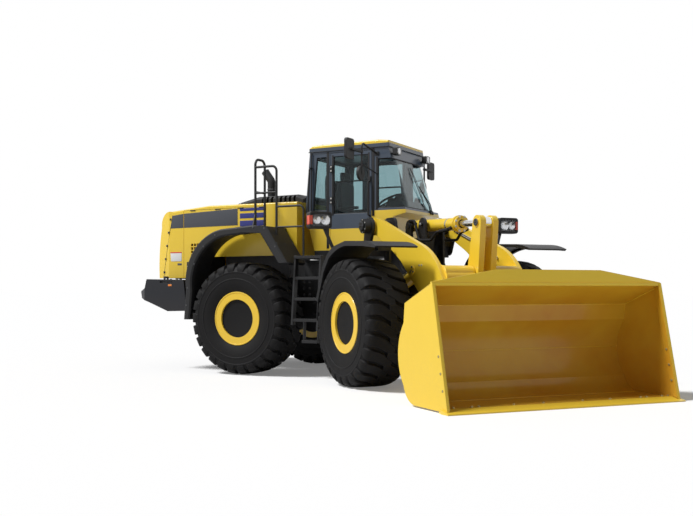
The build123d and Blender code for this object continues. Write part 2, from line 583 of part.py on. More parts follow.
with BuildPart() as cab_base:
    middle_plate([(-810, 1800), (-820, CAB_FLOOR), (480, CAB_FLOOR), (470, 1800)], CAB_HALF_WIDTH)
cab_base.part.label = "cab_base"

with BuildPart() as cab_roof:
    middle_plate([(CAB_EAVE_REAR - 12, CAB_EAVE), (CAB_EAVE_REAR - 12, CAB_ROOF_HEIGHT - 50),
                  (CAB_EAVE_REAR + 60, CAB_ROOF_HEIGHT - 12), (CAB_EAVE_FRONT - 160, CAB_ROOF_HEIGHT),
                  (CAB_EAVE_FRONT + 10, CAB_ROOF_HEIGHT - 20), (CAB_EAVE_FRONT + 22, CAB_EAVE)],
                 CAB_HALF_WIDTH + 14)
    fillet([edge for edge in cab_roof.edges() if abs(abs(edge.center().Y) - CAB_HALF_WIDTH - 14) < 1
            and edge.center().Z > CAB_EAVE + 5], 24)
    block((CAB_EAVE_REAR + 130, CAB_EAVE_FRONT - 250), (-CAB_HALF_WIDTH + 130, CAB_HALF_WIDTH - 130),
          (CAB_ROOF_HEIGHT - 24, CAB_ROOF_HEIGHT + 10), Mode.SUBTRACT)
cab_roof.part.label = "cab_roof"

PANE_DEPTH = 30               # from the outside of a wall to the inside of its pane


def screen(inset, corner, mode=Mode.ADD):
    """Solid wrap-round windshield, its faces moved in by an amount."""
    low, high = WINDOW_BOTTOM - inset, WINDSHIELD_TOP + inset
    with BuildPart(mode=Mode.PRIVATE) as filled:
        middle_plate([(SCREEN_REAR - inset, low), (SCREEN_REAR - inset, high), (cab_front(high) - 14 - inset, high),
                      (cab_front(low) - 14 - inset, low)], CAB_HALF_WIDTH - PANE_DEPTH + GLASS - inset)
        fillet([edge for edge in filled.edges() if edge.center().X > SCREEN_REAR + 100
                and abs(edge.center().Y) > 100 and edge.length > 500
                and abs(edge.tangent_at(0.5).Z) > 0.5], corner)
    add(filled.part, mode=mode)


with BuildPart() as cab_glass:
    plate(rear_window, CAB_HALF_WIDTH - PANE_DEPTH, CAB_HALF_WIDTH - PANE_DEPTH + GLASS)
    low, high = WINDOW_BOTTOM + 50, WINDOW_TOP
    middle_plate([(cab_rear(low) + PANE_DEPTH, low), (cab_rear(high) + PANE_DEPTH, high),
                  (cab_rear(high) + PANE_DEPTH - GLASS, high), (cab_rear(low) + PANE_DEPTH - GLASS, low)],
                 SCREEN_HALF)
    screen(0, SCREEN_CORNER)
    screen(GLASS, SCREEN_CORNER - GLASS, Mode.SUBTRACT)
cab_glass.part.label = "cab_glass"

cab_doors = []
door_window = [(CAB_DOOR_REAR + 60, 2450), (CAB_DOOR_REAR + 60, WINDOW_TOP), (CAB_DOOR_FRONT - 60, WINDOW_TOP),
               (CAB_DOOR_FRONT - 60, 2450)]
for side, name in ((LEFT, "left"), (RIGHT, "right")):
    with BuildPart() as cab_door:
        plate(cab_opening, CAB_HALF_WIDTH - CAB_WALL + 5, CAB_HALF_WIDTH, (side,), SEAM)
        plate(door_window, CAB_HALF_WIDTH - CAB_WALL, CAB_HALF_WIDTH + 10, (side,), mode=Mode.SUBTRACT)
    cab_door.part.label = "cab_door_" + name
    with BuildPart() as door_glass:
        plate(door_window, CAB_HALF_WIDTH - PANE_DEPTH, CAB_HALF_WIDTH - PANE_DEPTH + GLASS, (side,))
    door_glass.part.label = "door_glass_" + name
    cab_doors.extend([cab_door.part, door_glass.part])

with BuildPart() as seat:
    block((-560, -60), (-250, 250), (2330, 2450))
    block((-700, -560), (-250, 250), (2330, 3000))
    block((-690, -600), (-140, 140), (3000, 3160))
    block((-500, -150), (-180, 180), (CAB_FLOOR + CAB_WALL, 2330))
seat.part.label = "seat"

WHEEL_CENTRE = (180, 0, 2680)
with BuildPart() as steering_column:
    block((270, 390), (-60, 60), (CAB_FLOOR + CAB_WALL, 2010))
    bar((330, 0, 1990), (185, 0, 2670), 45)
    with Locations(Location(WHEEL_CENTRE, (0, -25, 0))):
        Torus(200, 16)
        Cylinder(45, 60)
        Box(390, 40, 16)
steering_column.part.label = "steering_column"

with BuildPart() as console:
    block((-500, 100), (-480, -290), (CAB_FLOOR + CAB_WALL, 2480))
    fillet(console.edges().filter_by(Axis.X).sort_by(Axis.Z)[-2:], 40)
    middle_plate([(300, 2490), (300, 2600), (360, 2660), (540, 2640), (600, 2540), (580, 2490)], 430)
console.part.label = "console"

MIRROR_STEM = 1150            # across
MIRROR_PLACE = (1370, 1610)
with BuildPart() as mirrors:
    for side in BOTH:
        block((220, 280), sorted((side * CAB_HALF_WIDTH, side * (CAB_HALF_WIDTH + 20))), (3290, 3350))
        pipe([(250, side * (CAB_HALF_WIDTH + 15), 3320), (250, side * MIRROR_STEM, 3420),
              (250, side * MIRROR_STEM, 2960)], 14, 60)
        bar((250, side * (MIRROR_STEM - 5), 3110), (250, side * (CAB_HALF_WIDTH + 2), 3020), 9)
        block((225, 275), sorted((side * MIRROR_STEM, side * 1490)), (3270, 3300))
        low, high = sorted(side * across for across in MIRROR_PLACE)
        with BuildSketch(Plane.YZ.offset(205)) as housing:
            with Locations(((low + high) / 2, 3290)):
                RectangleRounded(high - low, 290, 45)
        extrude(housing.sketch, amount=38)
        bar((212, side * MIRROR_STEM, 2980), (250, side * MIRROR_STEM, 2980), 100)
mirrors.part.label = "mirrors"

with BuildPart() as roof_lights:
    for side in BOTH:
        block((CAB_EAVE_FRONT, 500), sorted((side * 530, side * 570)), (3300, 3330))
        with BuildSketch(Plane.YZ.offset(492)) as lamp_body:
            with Locations((side * 550, 3345)):
                RectangleRounded(150, 115, 22)
        extrude(lamp_body.sketch, amount=75)
    add(cab_frame.part, mode=Mode.SUBTRACT)
roof_lights.part.label = "roof_lights"

rear_parts += [
    rear_axle.part, rear_frame.part, counterweight.part, hood.part, hood_top_cover.part, *engine_doors,
    rear_grille.part, radiator.part, engine.part, transmission.part, exhaust_stack.part, rear_fenders.part,
    steps.part, handrails.part, cab_lower.part, cab_frame.part, cab_base.part, cab_roof.part, cab_glass.part,
    *cab_doors, seat.part, steering_column.part, console.part, mirrors.part, roof_lights.part,
]

# ================================================================ front half, drawn straight ahead
with BuildPart() as front_axle:
    axle_housing(AXLE)
    for side in BOTH:
        block((AXLE - 120, AXLE + 120), sorted((side * 290, side * 420)), (AXLE_HEIGHT, 1050))
front_axle.part.label = "front_axle"

TOWER_REAR = hypot(CAB_SHOULDER[0], CAB_HALF_WIDTH) + 4    # clears the cab's corner in a full turn
CHEEK_GAP = 30                # between a boom arm and the cheek outside it
CHEEK = 40
BOSS_REACH = 100              # how far the pivot boss stands out of its cheek
BRACKET = (125, 155)          # black plates on both sides of the tilt cylinder, across
BRACKET_HEAD = (1550, 2217)
tower = [(600, 600), (600, 1500), (TOWER_REAR, 1620), (TOWER_REAR, 2240),
         ((TOWER_REAR + 30, 2312), (TOWER_REAR + 100, 2340)),
         (1060, 2340), ((1130, 2312), (1160, 2240)), (1240, 1960), ((1290, 1700), (1420, 1560)),
         (AXLE + 35, 1480), (AXLE + 235, 1230), (AXLE + 435, 1150), (AXLE + 435, 780), (AXLE + 365, 780),
         (AXLE + 315, 1050), (AXLE - 315, 1050), (AXLE - 385, 600)]
with BuildPart() as front_frame:
    plate(tower, FRONT_PLATE, FRONT_PLATE + FRAME_PLATE)
    for height in (HINGE_BOTTOM, HINGE_TOP):
        for direction in (-1, 1):
            near = height + direction * (HINGE_PLATE / 2 + SIDE_PLAY)
            far = near + direction * FORK_PLATE
            low, high = sorted((near, far))
            deck([(900, FRONT_PLATE), (600, FRONT_PLATE), (120, HINGE_NOSE), (0, HINGE_NOSE),
                  (0, -HINGE_NOSE), (120, -HINGE_NOSE), (600, -FRONT_PLATE), (900, -FRONT_PLATE)], low, high)
            with Locations((0, 0, (low + high) / 2)):
                Cylinder(HINGE_NOSE, FORK_PLATE)
        with Locations((0, 0, height)):
            Cylinder(HINGE_PIN, HINGE_PLATE + 2 * (SIDE_PLAY + FORK_PLATE) + 20)
    block((TOWER_REAR, TOWER_REAR + 40), (-FRONT_PLATE, FRONT_PLATE), (1500, 2000))
    block((1180, 1220), (-FRONT_PLATE, FRONT_PLATE), (1480, 2000))
    block((TOWER_REAR, 1220), (-FRONT_PLATE, FRONT_PLATE), (2000, 2040))
    block((1200, AXLE + 35), (-FRONT_PLATE, FRONT_PLATE), (1440, 1480))
    block((AXLE + 375, AXLE + 435), (-FRONT_PLATE, FRONT_PLATE), (800, 1150))
    belt(BRACKET_HEAD, 92, (1500, 1640), 150, *BRACKET)
    plate([(1350, 1660), (1650, 1660), (1680, 1470), (1300, 1470)], *BRACKET)
    cross_rod(BRACKET_HEAD, 26, BRACKET[0], BRACKET[1] + 22)
    cheek = ARM_OUTER + CHEEK_GAP
    belt(BOOM_PIVOT, 128, (TOWER_REAR + 70, 1900), 90, cheek, cheek + CHEEK)
    plate([(TOWER_REAR, 1780), (TOWER_REAR, 1950), (TOWER_REAR + 110, 1950), (TOWER_REAR + 110, 1780)],
          FRONT_PLATE + FRAME_PLATE, cheek)
    cross_rod(BOOM_PIVOT, 104, cheek + CHEEK, cheek + CHEEK + BOSS_REACH)
    cross_rod(BOOM_PIVOT, PIN_BIG, ARM_INNER - SIDE_PLAY, cheek)
    cross_rod(BOOM_PIVOT, PIN_BIG, cheek + CHEEK + BOSS_REACH, cheek + CHEEK + BOSS_REACH + 14)
    for side in BOTH:
        block((TILT_BASE[0] - 90, TILT_BASE[0] + 70), sorted((side * 90, side * 130)), (2040, TILT_BASE[1]))
        for low in (STEER_HEIGHT - 100, STEER_HEIGHT + 70):
            deck([(650, FRONT_PLATE + FRAME_PLATE), (600, FRONT_PLATE + FRAME_PLATE),
                  (STEER_FRONT_PIN[0] - 60, STEER_FRONT_PIN[1] - 50),
                  (STEER_FRONT_PIN[0] - 60, STEER_FRONT_PIN[1] + 60), (650, STEER_FRONT_PIN[1] + 60)],
                 low, low + 30, (side,))
    cross_rod(TILT_BASE, 80, 90, 130)
    cross_rod(TILT_BASE, PIN_SMALL, -140, 140, (LEFT,))
    cross_rod(BOOM_PIVOT, 100, FRONT_PLATE + FRAME_PLATE, ARM_INNER - SIDE_PLAY)
    cross_rod(LIFT_BASE, 80, FRONT_PLATE + FRAME_PLATE, LIFT_LINE - 50 - SIDE_PLAY)
    cross_rod(LIFT_BASE, PIN_SMALL, LIFT_LINE - 50 - SIDE_PLAY, LIFT_LINE + 70)
    cross_rod(LIFT_BASE, 62, LIFT_LINE + 45 + SIDE_PLAY, LIFT_LINE + 70)
front_frame.part.label = "front_frame"

front_arch = moved([(-925, 1150), (-715, 1580), ((-530, 1790), (-265, 1902)), (35, 1950), (545, 1926),
                    ((760, 1902), (930, 1850)), (905, 1832), (545, 1886), (35, 1908), ((-245, 1862), (-500, 1755)),
                    (-680, 1555), (-883, 1135)], AXLE)
front_lip = moved([(-925, 1150), (-715, 1580), ((-530, 1790), (-265, 1902)), (35, 1950), (545, 1926),
                   ((760, 1902), (930, 1850)), (900, 1828), (545, 1862), (35, 1884), ((-230, 1838), (-480, 1735)),
                   (-655, 1545), (-860, 1125)], AXLE)
with BuildPart() as front_fenders:
    plate(front_arch, 850, FENDER_OUTER - 40)
    plate(front_lip, FENDER_OUTER - 40, FENDER_OUTER)
    for side in BOTH:
        block((AXLE - 165, AXLE - 65), sorted((side * 700, side * 730)), (AXLE_HEIGHT + 100, 1860))
        block((AXLE - 165, AXLE - 65), sorted((side * 700, side * 900)), (1835, 1900))
    cross_rod((AXLE, AXLE_HEIGHT), DRUM_RADIUS, 640, WHEEL_MIDDLE - 120, mode=Mode.SUBTRACT)
front_fenders.part.label = "front_fenders"

HEADLIGHT = (1050, 1545, 2262)    # middle of the housing's rear face
with BuildPart() as headlights:
    for side in BOTH:
        x, across, height = HEADLIGHT
        with BuildSketch(Plane.YZ.offset(x)) as lamp_housing:
            with Locations((side * across, height)):
                RectangleRounded(330, 236, 42)
        extrude(lamp_housing.sketch, amount=150)
        fillet([edge for edge in headlights.edges() if abs(edge.center().X - x) < 1 and edge.center().Y * side > 0],
               28)
        with BuildSketch(Plane.YZ.offset(x + 105)) as bezel:
            with Locations((side * across, height)):
                RectangleRounded(282, 176, 26)
        extrude(bezel.sketch, amount=50, mode=Mode.SUBTRACT)
        bar((x + 50, side * 1470, height - 60), (x + 120, side * 1300, 1770), 24)
        bar((x + 50, side * 1400, height - 60), (x + 50, side * 1560, height - 60), 24)
    add(front_fenders.part, mode=Mode.SUBTRACT)
headlights.part.label = "headlights"

BEAM_MIDDLE = 146             # half width of the gap where the tilt lever swings through the cross beam
beam = [(2380, 1330), (2395, 1545), ((2415, 1595), (2465, 1612)), (2750, 1612), ((2830, 1590), (2868, 1520)),
        ((2885, 1400), (2830, 1345)), (2760, 1330)]
beam_middle = [(2380, 1330), (2395, 1545), ((2415, 1595), (2465, 1612)), (2530, 1612), (2530, 1330)]
with BuildPart() as boom:
    plate([(1060, 2325), (1195, 2294), (2300, 1902), ((2660, 1705), (2885, 1420)), (2985, 1208), (3195, 812), (3255, 720), (3385, 520),
           ((3378, 360), (3280, 316)), ((3215, 322), (3165, 375)), (2850, 770), (2480, 1105),
           ((2130, 1405), (1799, 1692)), (1520, 1862), (1060, 2092), ((930, 2100), (868, 2210)),
           ((930, 2312), (1060, 2325))], ARM_INNER, ARM_OUTER)
    plate(beam, BEAM_MIDDLE, ARM_INNER)
    middle_plate(beam_middle, BEAM_MIDDLE)
    cross_rod(BOOM_PIVOT, PIN_BIG + PIN_PLAY, ARM_INNER, ARM_OUTER, mode=Mode.SUBTRACT)
    cross_rod(BUCKET_PIVOT, PIN_SMALL + PIN_PLAY, ARM_INNER, ARM_OUTER, mode=Mode.SUBTRACT)
    cross_rod(LEVER_PIVOT, PIN_BIG, -BEAM_MIDDLE, BEAM_MIDDLE, (LEFT,))
    cross_rod(LIFT_ROD_PIN, 75, LIFT_LINE + 45 + 2 * SIDE_PLAY, ARM_INNER)
boom.part.label = "boom"

LEVER_INNER = 52
LEVER_OUTER = 133
with BuildPart() as tilt_lever:
    belt(LEVER_PIVOT, 130, LEVER_TOP, 92, LEVER_INNER, LEVER_OUTER)
    belt(LEVER_PIVOT, 130, LEVER_FOOT, 85, LEVER_INNER, LEVER_OUTER)
    cross_rod(LEVER_PIVOT, 110, -LEVER_OUTER, LEVER_OUTER, (LEFT,))
    belt(LEVER_PIVOT, 100, between(LEVER_PIVOT, LEVER_FOOT, 0.55), 60, -LEVER_INNER, LEVER_INNER, (LEFT,))
    cross_rod(LEVER_PIVOT, PIN_BIG + PIN_PLAY, -LEVER_OUTER, LEVER_OUTER, (LEFT,), Mode.SUBTRACT)
    cross_rod(LEVER_TOP, 50, LEVER_OUTER, LEVER_OUTER + 12)
    cross_rod(LEVER_FOOT, 50, LEVER_OUTER, LEVER_OUTER + 12)
    cross_rod(LEVER_FOOT, PIN_SMALL, -LEVER_INNER, LEVER_INNER, (LEFT,))
tilt_lever.part.label = "tilt_lever"

LINK_HALF = 45
LINK_BAR = 52                 # half height of the link's bar
with BuildPart() as bucket_link:
    foot, head = LEVER_FOOT, BUCKET_LINK_PIN
    belt(foot, LINK_BAR, head, LINK_BAR, -LINK_HALF, LINK_HALF, (LEFT,))
    for point in (foot, head):
        cross_rod(point, 80, -LINK_HALF, LINK_HALF, (LEFT,))
        cross_rod(point, PIN_SMALL + PIN_PLAY, -LINK_HALF, LINK_HALF, (LEFT,), Mode.SUBTRACT)
bucket_link.part.label = "bucket_link"

BUCKET_SHEET = 30
CUTTER = 12                   # thickness of the strip along each side's front edge
EDGE_OVERHANG = 25            # the lip beyond the bucket's sides
GUARD_HALF = 690              # level part of the spill guard's top
bucket_half = BUCKET_WIDTH / 2
bucket_outer = [(4450, 20), (3880, 20), ((3700, 82), (3608, 220)), ((3478, 590), (3606, 930)), (3630, 1155),
                (4230, 1387)]
bucket_inner = [(4228, 1353), (3660, 1128), (3637, 935), ((3508, 590), (3640, 232)), ((3724, 110), (3885, 50)),
                (4450, 50)]
bucket_side = bucket_outer + [(4545, 26), (4450, 50)]
with BuildPart() as bucket:
    middle_plate(bucket_outer + bucket_inner, bucket_half)
    plate(bucket_side, bucket_half - BUCKET_SHEET, bucket_half)
    plate([(4234, 1350), (4535, 36), (4450, 58), (4156, 1320)], bucket_half - BUCKET_SHEET - CUTTER,
          bucket_half - BUCKET_SHEET)
    middle_plate([(4195, 1366), (4165, 1532), (4181, 1536), (4220, 1378)], bucket_half - 2)
    for side in BOTH:
        with BuildSketch(Plane.YZ.offset(4100)) as corner:
            with BuildLine():
                trace([(side * GUARD_HALF, 1540), (side * (bucket_half + 5), 1393), (side * (bucket_half + 5), 1560),
                       (side * GUARD_HALF, 1560)])
            make_face()
        extrude(corner.sketch, amount=200, mode=Mode.SUBTRACT)
        for low, high in ((ARM_INNER - SIDE_PLAY - 40, ARM_INNER - SIDE_PLAY),
                          (ARM_OUTER + SIDE_PLAY, ARM_OUTER + SIDE_PLAY + 40)):
            plate([(3624, 212), (BUCKET_PIVOT[0] + 20, 345), ((BUCKET_PIVOT[0] - 72, 360),
                   (BUCKET_PIVOT[0] - 85, BUCKET_PIVOT[1])), ((BUCKET_PIVOT[0] - 60, 505), (BUCKET_PIVOT[0] + 20, 545)),
                   (3490, 690), (3512, 450)], low, high, (side,))
        plate([(3496, 560), (BUCKET_LINK_PIN[0] - 55, BUCKET_LINK_PIN[1] - 65),
               ((BUCKET_LINK_PIN[0] - 88, BUCKET_LINK_PIN[1] + 15), (BUCKET_LINK_PIN[0] - 30, BUCKET_LINK_PIN[1] + 85)),
               (3618, 955), (3536, 800)], LINK_HALF + SIDE_PLAY, LINK_HALF + SIDE_PLAY + 42, (side,))
    cross_rod(BUCKET_PIVOT, PIN_SMALL, ARM_INNER - SIDE_PLAY - 40, ARM_OUTER + SIDE_PLAY + 40)
    cross_rod(BUCKET_LINK_PIN, PIN_SMALL, -LINK_HALF - SIDE_PLAY - 42, LINK_HALF + SIDE_PLAY + 42, (LEFT,))
bucket.part.label = "bucket"

with BuildPart() as cutting_edge:
    middle_plate([(4450, 50), (4600, 12), (4600, 0), (4380, 0), (4380, 20), (4450, 20)],
                 bucket_half + EDGE_OVERHANG)
    deck([(4370, bucket_half), (4370, bucket_half + EDGE_OVERHANG + 5), (4480, bucket_half + EDGE_OVERHANG + 5)],
         -5, 60, BOTH, Mode.SUBTRACT)
cutting_edge.part.label = "cutting_edge"


# ---------------------------------------------------------------- hydraulic cylinders
def barrel(base, head, across, radius, length, hole, gland):
    """Cylinder tube with its base eye and a bolted gland at its head; bored for the rod."""
    start, end = at_side(base, across), at_side(head, across)
    full = (Vector(*end) - Vector(*start)).length
    bar(between(start, end, 60 / full), between(start, end, length / full), radius)
    for low, high, ring in ((length - 95, length - 55, gland), (length - 50, length - 5, gland - 7)):
        bar(between(start, end, low / full), between(start, end, high / full), ring)
    cross_rod(base, radius - 5, across - 45, across + 45, (LEFT,))
    cross_rod(base, radius, across - 90, across - 45, (LEFT,), Mode.SUBTRACT)
    cross_rod(base, radius, across + 45, across + 90, (LEFT,), Mode.SUBTRACT)
    cross_rod(base, PIN_SMALL + PIN_PLAY, across - 45, across + 45, (LEFT,), Mode.SUBTRACT)
    bar(between(start, end, 150 / full), between(start, end, (length + 10) / full), hole, Mode.SUBTRACT)


def rod(base, head, across, radius, entry):
    """Rod with its eye and the eye's pin; entry is where it starts from the base pin."""
    start, end = at_side(base, across), at_side(head, across)
    full = (Vector(*end) - Vector(*start)).length
    bar(between(start, end, entry / full), between(start, end, (full - 60) / full), radius)
    cross_rod(head, 75, across - 45, across + 45, (LEFT,))
    cross_rod(head, PIN_SMALL, across - 49, across + 49, (LEFT,))


TILT_BARREL = (85, 60)
STEER_BARREL = (58, 40)
LIFT_ROD = 45
TILT_ROD = 45
STEER_ROD = 30
with BuildPart() as lift_barrels:
    for side in BOTH:
        barrel(LIFT_BASE, LIFT_ROD_PIN, side * LIFT_LINE, LIFT_BARREL[0], 1300, LIFT_BARREL[1], 92)
lift_barrels.part.label = "lift_barrels"
with BuildPart() as lift_rods:
    for side in BOTH:
        rod(LIFT_BASE, LIFT_ROD_PIN, side * LIFT_LINE, LIFT_ROD, 240)
lift_rods.part.label = "lift_rods"
with BuildPart() as tilt_barrel:
    barrel(TILT_BASE, LEVER_TOP, 0, TILT_BARREL[0], 1215, TILT_BARREL[1], 114)
tilt_barrel.part.label = "tilt_barrel"
with BuildPart() as tilt_rod:
    rod(TILT_BASE, LEVER_TOP, 0, TILT_ROD, 700)
tilt_rod.part.label = "tilt_rod"

HOSE = 19
with BuildPart() as tilt_hoses:
    for side, level in ((RIGHT, 0), (LEFT, 10)):
        pipe([(1250, side * 185, 2282 + level), (1420, side * 200, 2272 + level), (1560, side * 205, 1990 + level),
              (1880, side * 205, 1978 + level), (2010, side * 195, 2080 + level),
              (2120, side * 170, 2095 + level)], HOSE, 70)
        bar((2070, side * 181, 2088 + level), (2230, side * 145, 2105 + level), HOSE + 6)
        bar((2215, side * 150, 2104 + level), (2230, side * 76, 2140), HOSE + 4)
        bar((1262, side * 190, 2282 + level), (1262, side * 74, 2235), HOSE + 4)
    add(tilt_barrel.part, mode=Mode.SUBTRACT)
tilt_hoses.part.label = "tilt_hoses"

STEER_ROD_START = 124       # inner end of a shortened rod, from its cylinder's pin
steer_closed = (Vector(*turned((STEER_FRONT_PIN[0], -STEER_FRONT_PIN[1]), -STEER_STOP))
                - Vector(STEER_REAR_PIN[0], -STEER_REAR_PIN[1])).length
steering_parts = []
for side, name in ((LEFT, "left"), (RIGHT, "right")):
    rear = (STEER_REAR_PIN[0], side * STEER_REAR_PIN[1], STEER_HEIGHT)
    front = (*turned((STEER_FRONT_PIN[0], side * STEER_FRONT_PIN[1]), -STEER_STOP), STEER_HEIGHT)
    full = (Vector(*front) - Vector(*rear)).length
    with BuildPart() as steer_barrel:
        bar(between(rear, front, 60 / full), between(rear, front, 760 / full), STEER_BARREL[0])
        with Locations(rear):
            Cylinder(62, 80)
            Cylinder(PIN_SMALL + PIN_PLAY, 80, mode=Mode.SUBTRACT)
        bar(between(rear, front, 110 / full), between(rear, front, 780 / full), STEER_BARREL[1], Mode.SUBTRACT)
    steer_barrel.part.label = "steer_barrel_" + name
    with BuildPart() as steer_rod:
        bar(between(rear, front, (STEER_ROD_START + full - steer_closed) / full),
            between(rear, front, (full - 50) / full), STEER_ROD)
        with Locations(front):
            Cylinder(60, 80)
            Cylinder(PIN_SMALL + PIN_PLAY, 80, mode=Mode.SUBTRACT)
    steer_rod.part.label = "steer_rod_" + name
    steering_parts.extend([steer_barrel.part, steer_rod.part])
rear_parts += steering_parts

front_parts += [
    front_axle.part, front_frame.part, front_fenders.part, headlights.part, boom.part, tilt_lever.part,
    bucket_link.part, bucket.part, cutting_edge.part, lift_barrels.part, lift_rods.part, tilt_barrel.part,
    tilt_rod.part, tilt_hoses.part,
]

# ================================================================ turn, shift and write
names = [piece.label for piece in rear_parts + front_parts]
placed = rear_parts + [piece.rotate(Axis.Z, -STEER_STOP) for piece in front_parts]
boxes = [piece.bounding_box() for piece in placed]
shift = (
    -round((min(box.min.X for box in boxes) + max(box.max.X for box in boxes)) / 2),
    -round((min(box.min.Y for box in boxes) + max(box.max.Y for box in boxes)) / 2),
    0,
)
for name, piece in zip(names, placed):
    shifted = piece.translate(shift)
    shifted.label = name
    export_step(shifted, "parts/" + name + ".step")
print("shift", shift)
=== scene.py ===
"""Looks of an articulated wheel loader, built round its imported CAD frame. Metres.

Each sub-assembly is a class that holds its sizes and builds and dresses its own pieces. Shapes are drawn in
the frame of their half of the machine: x forward, y left, z up, with the zero on the articulation axis.
"""
import sys

import functools
import json
import logging
import math
from dataclasses import dataclass, field
from enum import Enum
from typing import Any, Iterable, Sequence, Union

import bmesh
import bpy
from mathutils import Matrix, Vector


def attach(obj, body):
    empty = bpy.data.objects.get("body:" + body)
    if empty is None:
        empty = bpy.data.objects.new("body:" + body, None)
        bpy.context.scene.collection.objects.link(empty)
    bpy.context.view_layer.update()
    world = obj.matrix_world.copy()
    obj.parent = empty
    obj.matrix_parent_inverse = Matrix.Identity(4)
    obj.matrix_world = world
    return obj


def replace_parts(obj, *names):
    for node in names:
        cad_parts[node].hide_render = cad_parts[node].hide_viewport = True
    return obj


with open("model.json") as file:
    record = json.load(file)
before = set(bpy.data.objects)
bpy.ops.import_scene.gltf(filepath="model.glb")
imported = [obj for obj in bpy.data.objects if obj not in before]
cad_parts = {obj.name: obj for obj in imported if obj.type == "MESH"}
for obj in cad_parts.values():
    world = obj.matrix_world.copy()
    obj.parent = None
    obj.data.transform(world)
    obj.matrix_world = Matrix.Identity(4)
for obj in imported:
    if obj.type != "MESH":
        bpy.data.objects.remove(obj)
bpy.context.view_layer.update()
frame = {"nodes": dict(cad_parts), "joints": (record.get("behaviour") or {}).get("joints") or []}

LOG = logging.getLogger("wheel_loader")
Colour = tuple[float, float, float]
Point = tuple[float, float, float]
Outline = Sequence[tuple[float, float]]
SIDES = {"left": 1, "right": -1}


# ---------------------------------------------------------------- shader arithmetic
class Value:
    """A number socket that takes part in arithmetic, adding Math nodes as it goes."""

    def __init__(self, graph: "Graph", socket: bpy.types.NodeSocket) -> None:
        """Keeps the socket and the graph that it belongs to."""
        self.graph = graph
        self.socket = socket

    def _math(self, operation: str, first: "Number", second: "Number") -> "Value":
        """Adds one Math node."""
        return self.graph.node("ShaderNodeMath", {"operation": operation}, {0: first, 1: second})

    def __add__(self, other: "Number") -> "Value":
        """Sum."""
        return self._math("ADD", self, other)

    def __sub__(self, other: "Number") -> "Value":
        """Difference."""
        return self._math("SUBTRACT", self, other)

    def __rsub__(self, other: "Number") -> "Value":
        """Difference from a number."""
        return self._math("SUBTRACT", other, self)

    def __mul__(self, other: "Number") -> "Value":
        """Product."""
        return self._math("MULTIPLY", self, other)

    def __gt__(self, other: "Number") -> "Value":
        """One where this is the greater, else zero."""
        return self._math("GREATER_THAN", self, other)

    def clamped(self) -> "Value":
        """The same value held between nought and one."""
        return self.graph.node("ShaderNodeClamp", {}, {0: self})

    __radd__ = __add__
    __rmul__ = __mul__


Number = Union[Value, float]


